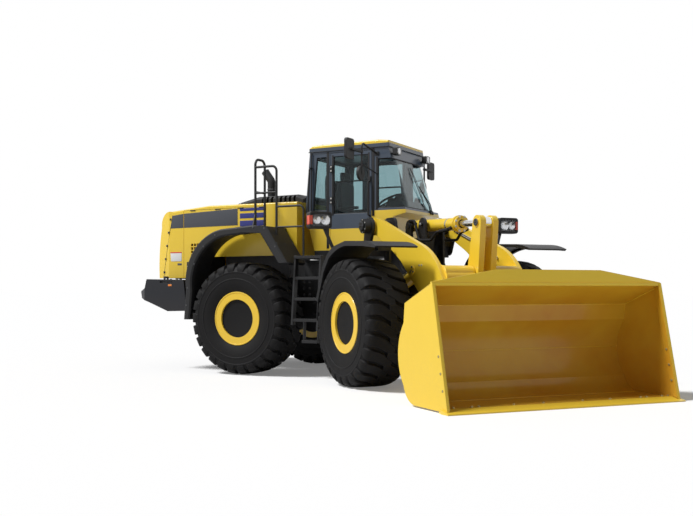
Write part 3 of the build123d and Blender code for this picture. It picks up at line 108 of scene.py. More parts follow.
class Graph:
    """The node tree of one material, with its Principled shader."""

    def __init__(self, name: str) -> None:
        """Starts a material with a bare Principled shader.

        Args:
            name: The material's name.
        """
        self.material = bpy.data.materials.new(name)
        self.material.use_nodes = True
        self.tree = self.material.node_tree
        self.shader = self.tree.nodes["Principled BSDF"]

    def node(self, kind: str, settings: dict[str, Any], inputs: dict[Any, Any], output: Any = 0) -> Value:
        """Adds a node.

        Args:
            kind: The node's type.
            settings: Properties of the node, set first. "stops" are a ramp's (position, grey) pairs.
            inputs: Values or links by socket name or number.
            output: Name or number of the socket to return.

        Returns:
            The chosen output.
        """
        made = self.tree.nodes.new(kind)
        for key, value in settings.items():
            if key == "stops":
                ramp = made.color_ramp.elements
                for element, (position, grey) in zip(ramp, value):
                    element.position = position
                    element.color = (grey, grey, grey, 1)
            else:
                setattr(made, key, value)
        for key, value in inputs.items():
            self.plug(made.inputs[key], value)
        return Value(self, made.outputs[output])

    def plug(self, socket: bpy.types.NodeSocket, value: Any) -> None:
        """Links a Value to a socket, or sets the socket's own number or colour.

        Args:
            socket: The socket to feed.
            value: A Value, number, colour or vector.
        """
        if isinstance(value, Value):
            self.tree.links.new(value.socket, socket)
        elif isinstance(value, tuple) and socket.type == "RGBA":
            socket.default_value = (*value, 1)
        else:
            socket.default_value = value

    def mix(self, share: Number, first: Any, second: Any) -> Value:
        """Colour between two colours."""
        return self.node("ShaderNodeMix", {"data_type": "RGBA"}, {0: share, 6: first, 7: second}, 2)

    @functools.cached_property
    def place(self) -> Value:
        """Coordinates that ride with the piece."""
        return self.node("ShaderNodeTexCoord", {}, {}, "Object")

    def noise(self, scale: float, detail: float = 3.0, stretch: Point = (1, 1, 1)) -> Value:
        """Grain of a size.

        Args:
            scale: Lumps per metre.
            detail: Octaves.
            stretch: Scale along each axis, for brushed or streaked grain.

        Returns:
            A value round one half.
        """
        place = self.node("ShaderNodeVectorMath", {"operation": "MULTIPLY"}, {0: self.place, 1: stretch})
        return self.node("ShaderNodeTexNoise", {}, {"Vector": place, "Scale": scale, "Detail": detail})

    def height(self) -> Value:
        """Height over the ground at rest."""
        return self.node("ShaderNodeSeparateXYZ", {}, {0: self.place}, 2)

    def outward(self, middle: Point) -> Value:
        """More than nought where the surface faces away from a point."""
        reach = self.node("ShaderNodeVectorMath", {"operation": "SUBTRACT"}, {0: self.place, 1: middle})
        facing = self.node("ShaderNodeTexCoord", {}, {}, "Normal")
        return self.node("ShaderNodeVectorMath", {"operation": "DOT_PRODUCT"}, {0: reach, 1: facing}, "Value")

    def edges(self, radius: float) -> tuple[Value, Value]:
        """Rounded-over normal, and how near a sharp edge is.

        Args:
            radius: Rounding, in metres.

        Returns:
            The normal, and a mask that is one on an edge.
        """
        rounded = self.node("ShaderNodeBevel", {"samples": 4}, {"Radius": radius})
        flat = self.node("ShaderNodeNewGeometry", {}, {}, "Normal")
        along = self.node("ShaderNodeVectorMath", {"operation": "DOT_PRODUCT"}, {0: rounded, 1: flat},
                          "Value")
        return rounded, ((1.0 - along) * 6.0).clamped()

    def bump(self, height: Number, depth: float, normal: Union[Value, None] = None) -> None:
        """Raises the surface by a height.

        Args:
            height: Value between nought and one.
            depth: What one stands for, in metres.
            normal: Normal to start from.
        """
        inputs = {"Height": height, "Distance": depth, "Strength": 1.0}
        if normal is not None:
            inputs["Normal"] = normal
        self.plug(self.shader.inputs["Normal"], self.node("ShaderNodeBump", {}, inputs))

    def finish(self, **sockets: Any) -> bpy.types.Material:
        """Feeds the shader's sockets, named with underscores, and gives the material."""
        for key, value in sockets.items():
            self.plug(self.shader.inputs[key.replace("_", " ")], value)
        return self.material


# ---------------------------------------------------------------- finishes
@dataclass(frozen=True)
class Paint:
    """Gloss machine paint: slightly wavy, with a painted highlight along its edges and a breath of dust low
    down.

    Under the split height it takes the colour below, and on faces turned toward the middle of a hollow it
    carries painted shade in a darker orange.
    """

    name: str
    slot: str
    colour: Colour
    roughness: float = 0.3
    gloss: float = 0.5
    # share of the painted highlight along sharp edges
    edge: float = 0.35
    dust: float = 0.1
    below: Union[Colour, None] = None
    split: float = 0.0
    # middle of a hollow, and the darker orange of the painted shade laid on faces turned toward it
    hollow: Union[Point, None] = None
    hollow_shade: Colour = (0.50, 0.165, 0.004)
    DUST_COLOUR = (0.33, 0.25, 0.16)

    def material(self) -> bpy.types.Material:
        """Builds the node tree."""
        graph = Graph(self.name)
        clouds = graph.noise(1.3, 4.0)
        specks = graph.noise(38.0, 5.0)
        rounded, edge = graph.edges(0.006)
        deep, pale = (tuple(c * share for c in self.colour) for share in (0.9, 1.04))
        if self.below:
            upper = graph.height() > self.split
            deep, pale = (graph.mix(upper, tuple(c * share for c in self.below), shade)
                          for shade, share in ((deep, 0.9), (pale, 1.04)))
        # Painted highlight: sharp edges, found by the edge mask, are mixed toward this paler colour.
        edge_highlight = tuple(min(1.0, c * 1.15 + 0.05) for c in self.colour)
        low = (1.0 - graph.height() * 0.8).clamped()
        settled = (low * specks * clouds * (4.0 * self.dust)).clamped()
        coat = graph.mix(edge * self.edge, graph.mix(clouds, deep, pale), edge_highlight)
        # Painted shade: faces turned toward the hollow's middle take a darker orange, mottled by the cloud
        # noise.
        if self.hollow:
            coat = graph.mix(graph.outward(self.hollow) > 0.0, graph.mix(clouds, self.hollow_shade, deep), coat)
        graph.bump(graph.noise(2.2, 2.0) + graph.noise(420.0, 2.0) * 0.02, 0.0035, rounded)
        return graph.finish(
            Base_Color=graph.mix(settled, coat, self.DUST_COLOUR), Roughness=self.roughness + specks * 0.12,
            Specular_IOR_Level=self.gloss, Coat_Weight=0.25, Coat_Roughness=0.12)


@dataclass(frozen=True)
class Plastic:
    """Moulded black plastic or textured black paint."""

    name: str
    slot: str
    colour: Colour
    roughness: float = 0.5
    gloss: float = 0.35

    def material(self) -> bpy.types.Material:
        """Builds the node tree."""
        graph = Graph(self.name)
        rounded, edge = graph.edges(0.005)
        haze = graph.noise(2.6, 4.0)
        # Haze patches are tone that differs at random; the edge share is a painted highlight along sharp
        # edges.
        pale = tuple(c * 1.6 + 0.012 for c in self.colour)
        graph.bump(graph.noise(500.0, 2.0), 0.0004, rounded)
        return graph.finish(
            Base_Color=graph.mix((haze * 0.5 + edge * 0.5).clamped(), self.colour, pale),
            Roughness=self.roughness + haze * 0.15, Specular_IOR_Level=self.gloss)


@dataclass(frozen=True)
class Rubber:
    """Tyre rubber: satin sidewalls, duller and dusty on the tread."""

    name: str
    slot: str = "tyre"
    colour: Colour = (0.004, 0.004, 0.005)

    def material(self) -> bpy.types.Material:
        """Builds the node tree."""
        graph = Graph(self.name)
        grime = graph.noise(7.0, 6.0)
        fine = graph.noise(90.0, 4.0)
        rounded, edge = graph.edges(0.008)
        scuffed = graph.mix((grime * fine * 1.3).clamped(), self.colour, (0.014, 0.013, 0.012))
        graph.bump(fine, 0.0012, rounded)
        # Sharp edges are mixed toward a paler grey: a painted highlight.
        return graph.finish(
            Base_Color=graph.mix(edge * 0.5, scuffed, (0.035, 0.035, 0.038)), Roughness=0.5 + grime * 0.3,
            Specular_IOR_Level=0.16)


@dataclass(frozen=True)
class Metal:
    """Bare or plated metal with a turned or rolled grain."""

    name: str
    slot: str
    colour: Colour
    roughness: float
    grain: Point = (1, 1, 1)

    def material(self) -> bpy.types.Material:
        """Builds the node tree."""
        graph = Graph(self.name)
        grain = graph.noise(60.0, 5.0, self.grain)
        stain = graph.noise(5.0, 4.0)
        dull = tuple(c * 0.6 for c in self.colour)
        graph.bump(grain, 0.0003, graph.edges(0.003)[0])
        return graph.finish(
            Base_Color=graph.mix(stain * grain, self.colour, dull), Roughness=self.roughness + grain * 0.15,
            Metallic=0.9 + stain * 0.1)


@dataclass(frozen=True)
class Glass:
    """Tinted safety glass or a clear lamp lens."""

    name: str
    slot: str
    colour: Colour
    ripple: float = 0.0

    def material(self) -> bpy.types.Material:
        """Builds the node tree."""
        graph = Graph(self.name)
        smear = graph.noise(3.0, 4.0, (1.0, 1.0, 3.0))
        ribs = graph.noise(55.0, 1.0, (1.0, 1.0, 0.05))
        graph.bump(smear * 0.05 + ribs * self.ripple, 0.003)
        return graph.finish(
            Base_Color=graph.mix(smear, self.colour, tuple(c * 0.94 for c in self.colour)),
            Roughness=0.01 + smear * 0.03, Transmission_Weight=1.0, IOR=1.3)


@dataclass(frozen=True)
class Weave:
    """Seat cloth: two threads crossing, with a soft sheen."""

    name: str
    slot: str
    colour: Colour

    def material(self) -> bpy.types.Material:
        """Builds the node tree."""
        graph = Graph(self.name)
        warp = graph.node("ShaderNodeTexWave", {"bands_direction": "X"},
                          {"Vector": graph.place, "Scale": 110.0})
        weft = graph.node("ShaderNodeTexWave", {"bands_direction": "Z"},
                          {"Vector": graph.place, "Scale": 110.0})
        fade = graph.noise(9.0, 4.0)
        graph.bump(warp * weft + fade * 0.3, 0.0012)
        pale = tuple(c * 1.7 for c in self.colour)
        return graph.finish(
            Base_Color=graph.mix(warp * weft * fade, self.colour, pale), Roughness=0.8 + fade * 0.15,
            Sheen_Weight=0.3)


YELLOW = Paint("Machine yellow", "body_yellow", (0.87, 0.60, 0.04), dust=0.06)
RIM_PAINT = Paint("Rim yellow", "rim_yellow", (0.86, 0.56, 0.03), roughness=0.36, dust=0.1)
NAVY = Paint("Cab navy", "cab_navy", (0.034, 0.052, 0.082), roughness=0.34, dust=0.0)
DOOR_PAINT = Paint("Cab door paint", "cab_navy", NAVY.colour, roughness=0.34, dust=0.0, below=YELLOW.colour,
                   split=2.225)
ROOF_PAINT = Paint("Roof paint", "body_yellow", YELLOW.colour, dust=0.0, below=NAVY.colour, split=3.475)
GREY = Paint("Counterweight slate", "counterweight_grey", (0.009, 0.010, 0.014), roughness=0.5, gloss=0.22,
             dust=0.08)
BAND = Paint("Band slate", "counterweight_grey", (0.040, 0.045, 0.058), roughness=0.4, dust=0.0)
BLUE = Paint("Bar blue", "cab_navy", (0.006, 0.014, 0.19), roughness=0.35, dust=0.0)
WHITE = Paint("Plate white", "steel", (0.8, 0.8, 0.8), roughness=0.4, dust=0.0)
RED = Paint("Plate red", "lamp", (0.62, 0.02, 0.02), roughness=0.4, dust=0.0)
BLACK = Plastic("Chassis black", "frame_black", (0.006, 0.006, 0.007), roughness=0.42)
MOULDED = Plastic("Moulded black", "plastic_black", (0.007, 0.007, 0.008), roughness=0.5)
TRIM = Plastic("Cab trim", "plastic_black", (0.018, 0.020, 0.023), roughness=0.6)
TYRE = Rubber("Tyre rubber")
HOSE = Rubber("Hose rubber", colour=(0.014, 0.014, 0.016))
STEEL = Metal("Zinc steel", "steel", (0.55, 0.55, 0.53), 0.32)
CHROME = Metal("Hard chrome", "chrome", (0.82, 0.83, 0.85), 0.08, (1, 1, 20))
CAST = Metal("Dark casting", "cast", (0.10, 0.10, 0.105), 0.5)
PANE = Glass("Tinted pane", "glass", (0.47, 0.605, 0.626))
SEAL = Plastic("Rubber seal", "plastic_black", (0.006, 0.006, 0.007), roughness=0.6)
PANEL = Plastic("Instrument panel", "plastic_black", (0.10, 0.13, 0.12), roughness=0.3)
WORN = Metal("Worn bolt head", "steel", (0.42, 0.34, 0.16), 0.5)
MIRROR = Metal("Mirror silver", "chrome", (0.85, 0.87, 0.88), 0.03)
LENS = Glass("Clear lens", "lamp", (0.95, 0.95, 0.95), 0.5)
AMBER = Paint("Amber lens", "lamp", (0.85, 0.24, 0.02), roughness=0.15, dust=0.0)
RED_LENS = Paint("Red lens", "lamp", (0.55, 0.01, 0.01), roughness=0.15, dust=0.0)
INDICATOR = Paint("Indicator lens", "lamp", (0.72, 0.05, 0.01), roughness=0.15, dust=0.0)
CLOTH = Weave("Woven cloth", "fabric", (0.035, 0.040, 0.048))
Finish = Union[Paint, Plastic, Rubber, Metal, Glass, Weave]


@functools.cache
def material_of(finish: Finish) -> bpy.types.Material:
    """The one material of a finish."""
    return finish.material()


# ---------------------------------------------------------------- drawing frames
@dataclass(frozen=True)
class Half:
    """One half of the machine and its place in the parked machine."""

    body: str
    turn: float

    @property
    def place(self) -> Matrix:
        """Drawing frame to machine frame: turned about the articulation axis."""
        steering = next(joint for joint in frame["joints"] if joint["name"] == "steering")
        x, y, _ = steering["pos_m"]
        return Matrix.Translation((x, y, 0)) @ Matrix.Rotation(math.radians(self.turn), 4, "Z")


STEER_STOP = next(joint for joint in frame["joints"] if joint["name"] == "steering")["range_deg"][1] / 2
REAR = Half("chassis", 0.0)
FRONT = Half("front_end", -STEER_STOP)

# Middle of the bucket's hollow: the bucket paint lays painted shade on faces turned toward it.
BUCKET_MIDDLE = tuple(FRONT.place @ Vector((4.0, 0, 0.72)))
BUCKET_PAINT = Paint("Bucket paint", "body_yellow", YELLOW.colour, gloss=0.25, hollow=BUCKET_MIDDLE)


class Plane(Enum):
    """What an outline's two numbers stand for; it is pushed along the third axis."""

    SIDE = (0, 2, 1)
    TOP = (0, 1, 2)
    FACE = (1, 2, 0)


class Piece:
    """Solids of one piece, gathered in the drawing frame of its half of the machine."""

    def __init__(self, name: str, half: Half, finish: Finish, body: Union[str, None] = None) -> None:
        """Starts an empty piece.

        Args:
            name: The piece's name.
            half: The half whose drawing frame it uses.
            finish: Finish of what is added first.
            body: CAD body that carries it, where that isn't the half itself.
        """
        self.name = name
        self.half = half
        self.body = body or half.body
        self.mesh = bmesh.new()
        self.finishes = [finish]
        self.present = 0
        self.smooth_over = 35.0

    def dress(self, finish: Finish) -> "Piece":
        """Chooses the finish of what is added next."""
        if finish not in self.finishes:
            self.finishes.append(finish)
        self.present = self.finishes.index(finish)
        return self

    def _painted(self, faces: Iterable[bmesh.types.BMFace]) -> None:
        """Gives new faces the present finish."""
        for face in faces:
            face.material_index = self.present

    def prism(self, outline: Outline, low: float, high: float, plane: Plane = Plane.SIDE,
              bevel: float = 0.0) -> "Piece":
        """Pushes a flat outline into a solid.

        Args:
            outline: Corners of the outline.
            low: Where the solid starts along the third axis.
            high: Where it ends.
            plane: Which axes the outline lies in.
            bevel: Rounding of its edges.

        Returns:
            The piece.
        """
        first, second, third = plane.value
        rings = []
        for depth in (low, high):
            ring = []
            for corner in outline:
                place = [0.0, 0.0, 0.0]
                place[first], place[second], place[third] = corner[0], corner[1], depth
                ring.append(self.mesh.verts.new(place))
            rings.append(ring)
        return self.skin(rings, bevel)

    def skin(self, rings: Sequence[Sequence[bmesh.types.BMVert]], bevel: float = 0.0,
             closed: bool = True, caps: bool = True) -> "Piece":
        """Joins rings of corners into a solid.

        Args:
            rings: Rings with the same number of corners, in order.
            bevel: Rounding of the sharp edges.
            closed: Whether each ring closes on itself.
            caps: Whether the first and last rings are filled.

        Returns:
            The piece.
        """
        count = len(rings[0])
        faces = []
        for low, high in zip(rings, rings[1:]):
            for i in range(count if closed else count - 1):
                j = (i + 1) % count
                faces.append(self.mesh.faces.new((low[i], low[j], high[j], high[i])))
        if caps:
            faces += [self.mesh.faces.new(list(reversed(rings[0]))), self.mesh.faces.new(rings[-1])]
        bmesh.ops.recalc_face_normals(self.mesh, faces=faces)
        self._painted(faces)
        if bevel:
            edges = [edge for edge in {edge for face in faces for edge in face.edges}
                     if edge.is_manifold and edge.calc_face_angle(0.0) > 0.5]
            made = bmesh.ops.bevel(self.mesh, geom=edges, offset=bevel, segments=2, profile=0.7,
                                   affect="EDGES",
                                   clamp_overlap=True)
            self._painted(made["faces"])
        return self

    def box(self, low: Point, high: Point, bevel: float = 0.004) -> "Piece":
        """Block between two corners, with eased edges."""
        return self.prism(oblong(*low[:2], *high[:2]), low[2], high[2], Plane.TOP, bevel)

    def tube(self, points: Sequence[Point], radius: Union[float, Sequence[float]],
             sides: int = 12) -> "Piece":
        """Round bar along points, mitred at each.

        Args:
            points: Points of its middle line.
            radius: One radius, or one at each point.
            sides: Facets round it.

        Returns:
            The piece.
        """
        line = [Vector(point) for point in points]
        radii = radius if isinstance(radius, (list, tuple)) else [radius] * len(line)
        ways = [(b - a).normalized() for a, b in zip(line, line[1:])]
        across = ways[0].orthogonal().normalized()
        rings = []
        for i, (point, size) in enumerate(zip(line, radii)):
            before, after = ways[max(i - 1, 0)], ways[min(i, len(ways) - 1)]
            way = (before + after).normalized()
            across = (across - way * across.dot(way)).normalized()
            up = way.cross(across)
            widen = 1 / max(0.5, way.dot(after))
            stretch = widen if 0 < i < len(line) - 1 else 1
            ring = []
            for k in range(sides):
                angle = 2 * math.pi * k / sides
                spoke = across * math.cos(angle) + up * math.sin(angle)
                ring.append(self.mesh.verts.new(point + spoke * size * stretch))
            rings.append(ring)
        return self.skin(rings)

    def turned(self, centre: Point, way: Point, profile: Outline, sides: int = 32,
               ring: bool = False) -> "Piece":
        """Turns a profile about an axis.

        Args:
            centre: Point on the axis.
            way: Direction of the axis.
            profile: (distance along the axis, radius) pairs.
            sides: Facets round it.
            ring: Whether the profile closes on itself, as an open ring, instead of being capped.

        Returns:
            The piece.
        """
        axis = Vector(way).normalized()
        middle = Vector(centre)
        across = axis.orthogonal().normalized()
        up = axis.cross(across)
        rings = []
        for along, radius in profile:
            circle = []
            for k in range(sides):
                angle = 2 * math.pi * k / sides
                spoke = across * math.cos(angle) + up * math.sin(angle)
                circle.append(self.mesh.verts.new(middle + axis * along + spoke * max(radius, 1e-4)))
            rings.append(circle)
        return self.skin(rings + rings[:1], caps=False) if ring else self.skin(rings)

    def bolts(self, places: Iterable[Point], way: Point, size: float = 0.012, washer: bool = True) -> "Piece":
        """Hexagon heads with washers, all facing one way.

        Args:
            places: Where each sits on its surface.
            way: Direction that the heads face.
            size: Half the width across a head.
            washer: Whether there is a washer under each.

        Returns:
            The piece.
        """
        for place in places:
            if washer:
                self.turned(place, way, ((-0.002, size * 1.5), (size * 0.25, size * 1.5)), 12)
            self.turned(place, way, ((-0.002, size), (size * 0.8, size), (size * 0.95, size * 0.8)), 6)
        return self

    def quilt(self, low: Point, high: Point, rows: int = 12) -> "Piece":
        """Cushion with rounded corners and a fine grid, for cloth to settle on.

        Args:
            low: Lowest corner.
            high: Highest corner.
            rows: Facets along each side.

        Returns:
            The piece.
        """
        bmesh.ops.create_cube(self.mesh, size=1.0)
        middle = (Vector(low) + Vector(high)) / 2
        reach = (Vector(high) - Vector(low)) / 2
        bmesh.ops.subdivide_edges(self.mesh, edges=self.mesh.edges[:], cuts=rows, use_grid_fill=True)
        ease = min(reach) * 0.85
        for vert in self.mesh.verts:
            place = Vector(2 * c * r for c, r in zip(vert.co, reach))
            core = Vector(max(-r + ease, min(r - ease, c)) for c, r in zip(place, reach))
            out = place - core
            if out.length > 1e-6:
                place = core + out.normalized() * ease
            vert.co = middle + place
        self._painted(self.mesh.faces)
        return self

    def made(self, mirror: bool = False, subdivide: int = 0) -> bpy.types.Object:
        """Turns the gathered solids into an object that rides on its body.

        Args:
            mirror: Whether the other side's copy is added.
            subdivide: Levels of subdivision.

        Returns:
            The object.
        """
        if mirror:
            copied = bmesh.ops.duplicate(self.mesh,
                                         geom=self.mesh.faces[:] + self.mesh.edges[:] + self.mesh.verts[:])
            verts = [part for part in copied["geom"] if isinstance(part, bmesh.types.BMVert)]
            faces = [part for part in copied["geom"] if isinstance(part, bmesh.types.BMFace)]
            for vert in verts:
                vert.co.y = -vert.co.y
            bmesh.ops.reverse_faces(self.mesh, faces=faces)
        data = bpy.data.meshes.new(self.name)
        self.mesh.to_mesh(data)
        self.mesh.free()
        data.transform(self.half.place)
        for finish in self.finishes:
            data.materials.append(material_of(finish))
        data.shade_smooth()
        data.set_sharp_from_angle(angle=math.radians(self.smooth_over))
        made = bpy.data.objects.new(self.name, data)
        bpy.context.scene.collection.objects.link(made)
        if subdivide:
            made.modifiers.new("Rounding", "SUBSURF").levels = subdivide
            made.modifiers["Rounding"].render_levels = subdivide
        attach(made, self.body)
        LOG.info("%s: %d faces on %s", self.name, len(data.polygons), self.body)
        return made


def arc(centre: tuple[float, float], radius: float, start: float, end: float,
        steps: int) -> list[tuple[float, float]]:
    """Points on an arc.

    Args:
        centre: Its middle.
        radius: Its radius.
        start: First angle in degrees.
        end: Last angle.
        steps: How many runs.

    Returns:
        The points, both ends included.
    """
    angles = [math.radians(start + (end - start) * i / steps) for i in range(steps + 1)]
    return [(centre[0] + radius * math.cos(a), centre[1] + radius * math.sin(a)) for a in angles]


def oblong(left: float, low: float, right: float, high: float) -> list[tuple[float, float]]:
    """Corners of an upright oblong."""
    return [(left, low), (right, low), (right, high), (left, high)]


def circle(middle: Point, radius: float, count: int, first: float = 0.0) -> list[Point]:
    """Places evenly round a circle that faces sideways.

    Args:
        middle: Its middle.
        radius: Its radius.
        count: How many places.
        first: Angle of the first, in degrees.

    Returns:
        The places.
    """
    angles = [math.radians(first + 360 * i / count) for i in range(count)]
    return [(middle[0] + radius * math.cos(a), middle[1], middle[2] + radius * math.sin(a)) for a in angles]


def collar(foot: float, top: float, outer: float, inner: float) -> Outline:
    """Profile of a flat ring, from its foot to its top."""
    return ((foot, outer), (top, outer), (top, inner), (foot, inner))


# ---------------------------------------------------------------- sub-assemblies
@dataclass
class CadFinishes:
    """Finishes of the CAD's own pieces."""

    smooth_over: float = 25.0
    finishes: dict[str, Finish] = field(default_factory=lambda: {
        "rim_": RIM_PAINT, "tyre_": TYRE, "rear_axle": BLACK, "front_axle": BLACK, "rear_frame": BLACK,
        "counterweight": GREY, "hood": YELLOW, "hood_top_cover": MOULDED, "engine_door": YELLOW,
        "rear_grille": BLACK, "radiator": TRIM, "engine": CAST, "transmission": CAST,
        "exhaust_stack": MOULDED,
        "rear_fenders": MOULDED, "steps": BLACK, "handrails": BLACK, "cab_lower": YELLOW, "cab_frame": NAVY,
        "cab_base": BLACK, "cab_roof": ROOF_PAINT, "cab_glass": PANE, "cab_door": DOOR_PAINT,
        "door_glass": PANE, "seat": CLOTH, "steering_column": TRIM, "console": TRIM, "mirrors": MOULDED,
        "roof_lights": MOULDED, "steer_barrel": BLACK, "steer_rod": CHROME, "front_frame": BLACK,
        "front_fenders": BLACK, "headlights": MOULDED, "boom": YELLOW, "tilt_lever": YELLOW,
        "bucket_link": YELLOW, "bucket": BUCKET_PAINT, "cutting_edge": YELLOW, "lift_barrels": YELLOW,
        "lift_rods": CHROME, "tilt_barrel": YELLOW, "tilt_rod": CHROME, "tilt_hoses": HOSE,
    })

    def build(self) -> None:
        """Gives every CAD node the finish with the longest matching name."""
        for name, node in frame["nodes"].items():
            key = max((key for key in self.finishes if name.startswith(key)), key=len)
            node.data.materials.clear()
            node.data.materials.append(material_of(self.finishes[key]))
            node.data.shade_smooth()
            node.data.set_sharp_from_angle(angle=math.radians(self.smooth_over))
        LOG.info("dressed %d CAD nodes", len(frame["nodes"]))


@dataclass
class Wheels:
    """Four treaded tyres on bolted rims."""

    axle: float = 1.725
    track: float = 1.15
    height: float = 0.86
    lugs: int = 26
    groove: float = 0.045
    disc_face: float = 0.015
    disc_bolts: int = 24
    disc_bolt_circle: float = 0.235
    hub_face: float = 0.150
    hub_bolts: int = 8
    hub_bolt_circle: float = 0.108
    flange_face: float = 0.285
    valve_at: float = 215
    # half of the casing, (across, radius), from the bead to the crown
    casing: Outline = (
        (0.262, 0.333), (0.276, 0.392), (0.290, 0.420), (0.312, 0.47), (0.327, 0.53), (0.333, 0.575),
        (0.333, 0.590), (0.339, 0.596), (0.339, 0.606), (0.333, 0.612), (0.334, 0.655), (0.333, 0.690),
        (0.338, 0.697), (0.338, 0.712), (0.330, 0.719), (0.322, 0.745), (0.306, 0.775), (0.27, 0.80),
        (0.18, 0.811), (0.06, 0.815),
    )
    # rim flange: (out from its face, radius)
    flange: Outline = (
        (-0.02, 0.404), (0.004, 0.409), (0.010, 0.404), (0.010, 0.392), (0.002, 0.386), (-0.03, 0.380),
        (-0.03, 0.372), (0.0, 0.368), (0.002, 0.350), (-0.006, 0.336), (-0.018, 0.300), (-0.05, 0.294),
        (-0.05, 0.33),
    )
    # one lug from the middle out and down the shoulder: across, top radius, wave and half width in pitches
    lug: Sequence[tuple[float, float, float, float]] = (
        (-0.045, 0.8585, 0.62, 0.22), (0.03, 0.8595, 0.50, 0.33), (0.10, 0.859, 0.26, 0.36),
        (0.18, 0.856, 0.06, 0.34), (0.25, 0.848, 0.0, 0.34), (0.295, 0.832, 0.0, 0.36),
        (0.322, 0.795, 0.0, 0.35), (0.336, 0.748, 0.0, 0.30), (0.334, 0.722, 0.0, 0.25),
    )

    def build(self) -> None:
        """Builds the four wheels."""
        for end, half, x in (("front", FRONT, self.axle), ("rear", REAR, -self.axle)):
            for word, side in SIDES.items():
                name = f"{end}_{word}"
                self.tyre(name, half, x, side)
                self.fittings(name, half, x, side)

    def tyre(self, name: str, half: Half, x: float, side: int) -> None:
        """Casing and tread of one tyre.

        Args:
            name: Which wheel.
            half: Its half of the machine.
            x: Its axle.
            side: 1 on the left, -1 on the right.
        """
        piece = Piece(f"tread_{name}", half, TYRE, f"wheel_{name}")
        middle = (x, side * self.track, self.height)
        whole = list(self.casing) + [(-across, radius) for across, radius in reversed(self.casing)]
        piece.turned(middle, (0, 1, 0), whole, 104)
        pitch = 2 * math.pi / self.lugs
        for hand in (1, -1):
            for number in range(self.lugs):
                start = (number + (0.5 if hand < 0 else 0.0)) * pitch
                self.one_lug(piece, middle, hand, start, pitch)
        made = piece.made()
        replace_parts(made, f"tyre_{name}")

    def one_lug(self, piece: Piece, middle: Point, hand: int, start: float, pitch: float) -> None:
        """One lug, as a strip of four-cornered sections.

        Args:
            piece: The tyre.
            middle: The wheel's middle.
            hand: Which shoulder it runs to.
            start: Its angle.
            pitch: Angle between lugs.
        """
        rings = []
        for across, radius, wave, half_width in self.lug:
            ring = []
            centre = start - hand * wave * pitch
            base = min(radius - self.groove, 0.80) if across < 0.3 else radius - self.groove * 0.5
            for deep, wide in ((base, 1.12), (radius - 0.006, 1.0), (radius, 0.93)):
                ring.append((deep, centre - half_width * pitch * wide))
            ring += [(deep, 2 * centre - angle) for deep, angle in reversed(ring)]
            inward = 0.022 if across > 0.3 else 0.0
            rings.append([piece.mesh.verts.new((
                middle[0] + deep * math.sin(angle),
                middle[1] + hand * (across - (inward if deep < radius - 0.01 else 0.0)),
                middle[2] + deep * math.cos(angle))) for deep, angle in ring])
        piece.skin(rings)

    def fittings(self, name: str, half: Half, x: float, side: int) -> None:
        """Disc bolts, hub bolts, hub cap, flange ring and valve of one rim.

        Args:
            name: Which wheel.
            half: Its half of the machine.
            x: Its axle.
            side: 1 on the left, -1 on the right.
        """
        piece = Piece(f"rim_fittings_{name}", half, RIM_PAINT, f"wheel_{name}")
        out = (0, side, 0)
        disc = (x, side * (self.track + self.disc_face), self.height)
        piece.bolts(circle(disc, self.disc_bolt_circle, self.disc_bolts), out, 0.0135)
        hub = (x, side * (self.track + self.hub_face), self.height)
        piece.bolts(circle(hub, self.hub_bolt_circle, self.hub_bolts), out, 0.008, False)
        piece.turned(hub, out, ((-0.01, 0.085), (0.006, 0.085), (0.014, 0.07), (0.014, 0.02)), 40)
        piece.turned((x, side * (self.track + self.flange_face), self.height), out, self.flange, 72, True)
        angle = math.radians(self.valve_at)
        foot = (x + 0.285 * math.cos(angle), side * (self.track + 0.12),
                self.height + 0.285 * math.sin(angle))
        piece.tube([foot, (foot[0] + 0.03, foot[1] + side * 0.02, foot[2] + 0.03),
                    (foot[0] + 0.035, foot[1] + side * 0.1, foot[2] + 0.035)], 0.007, 8)
        piece.made()


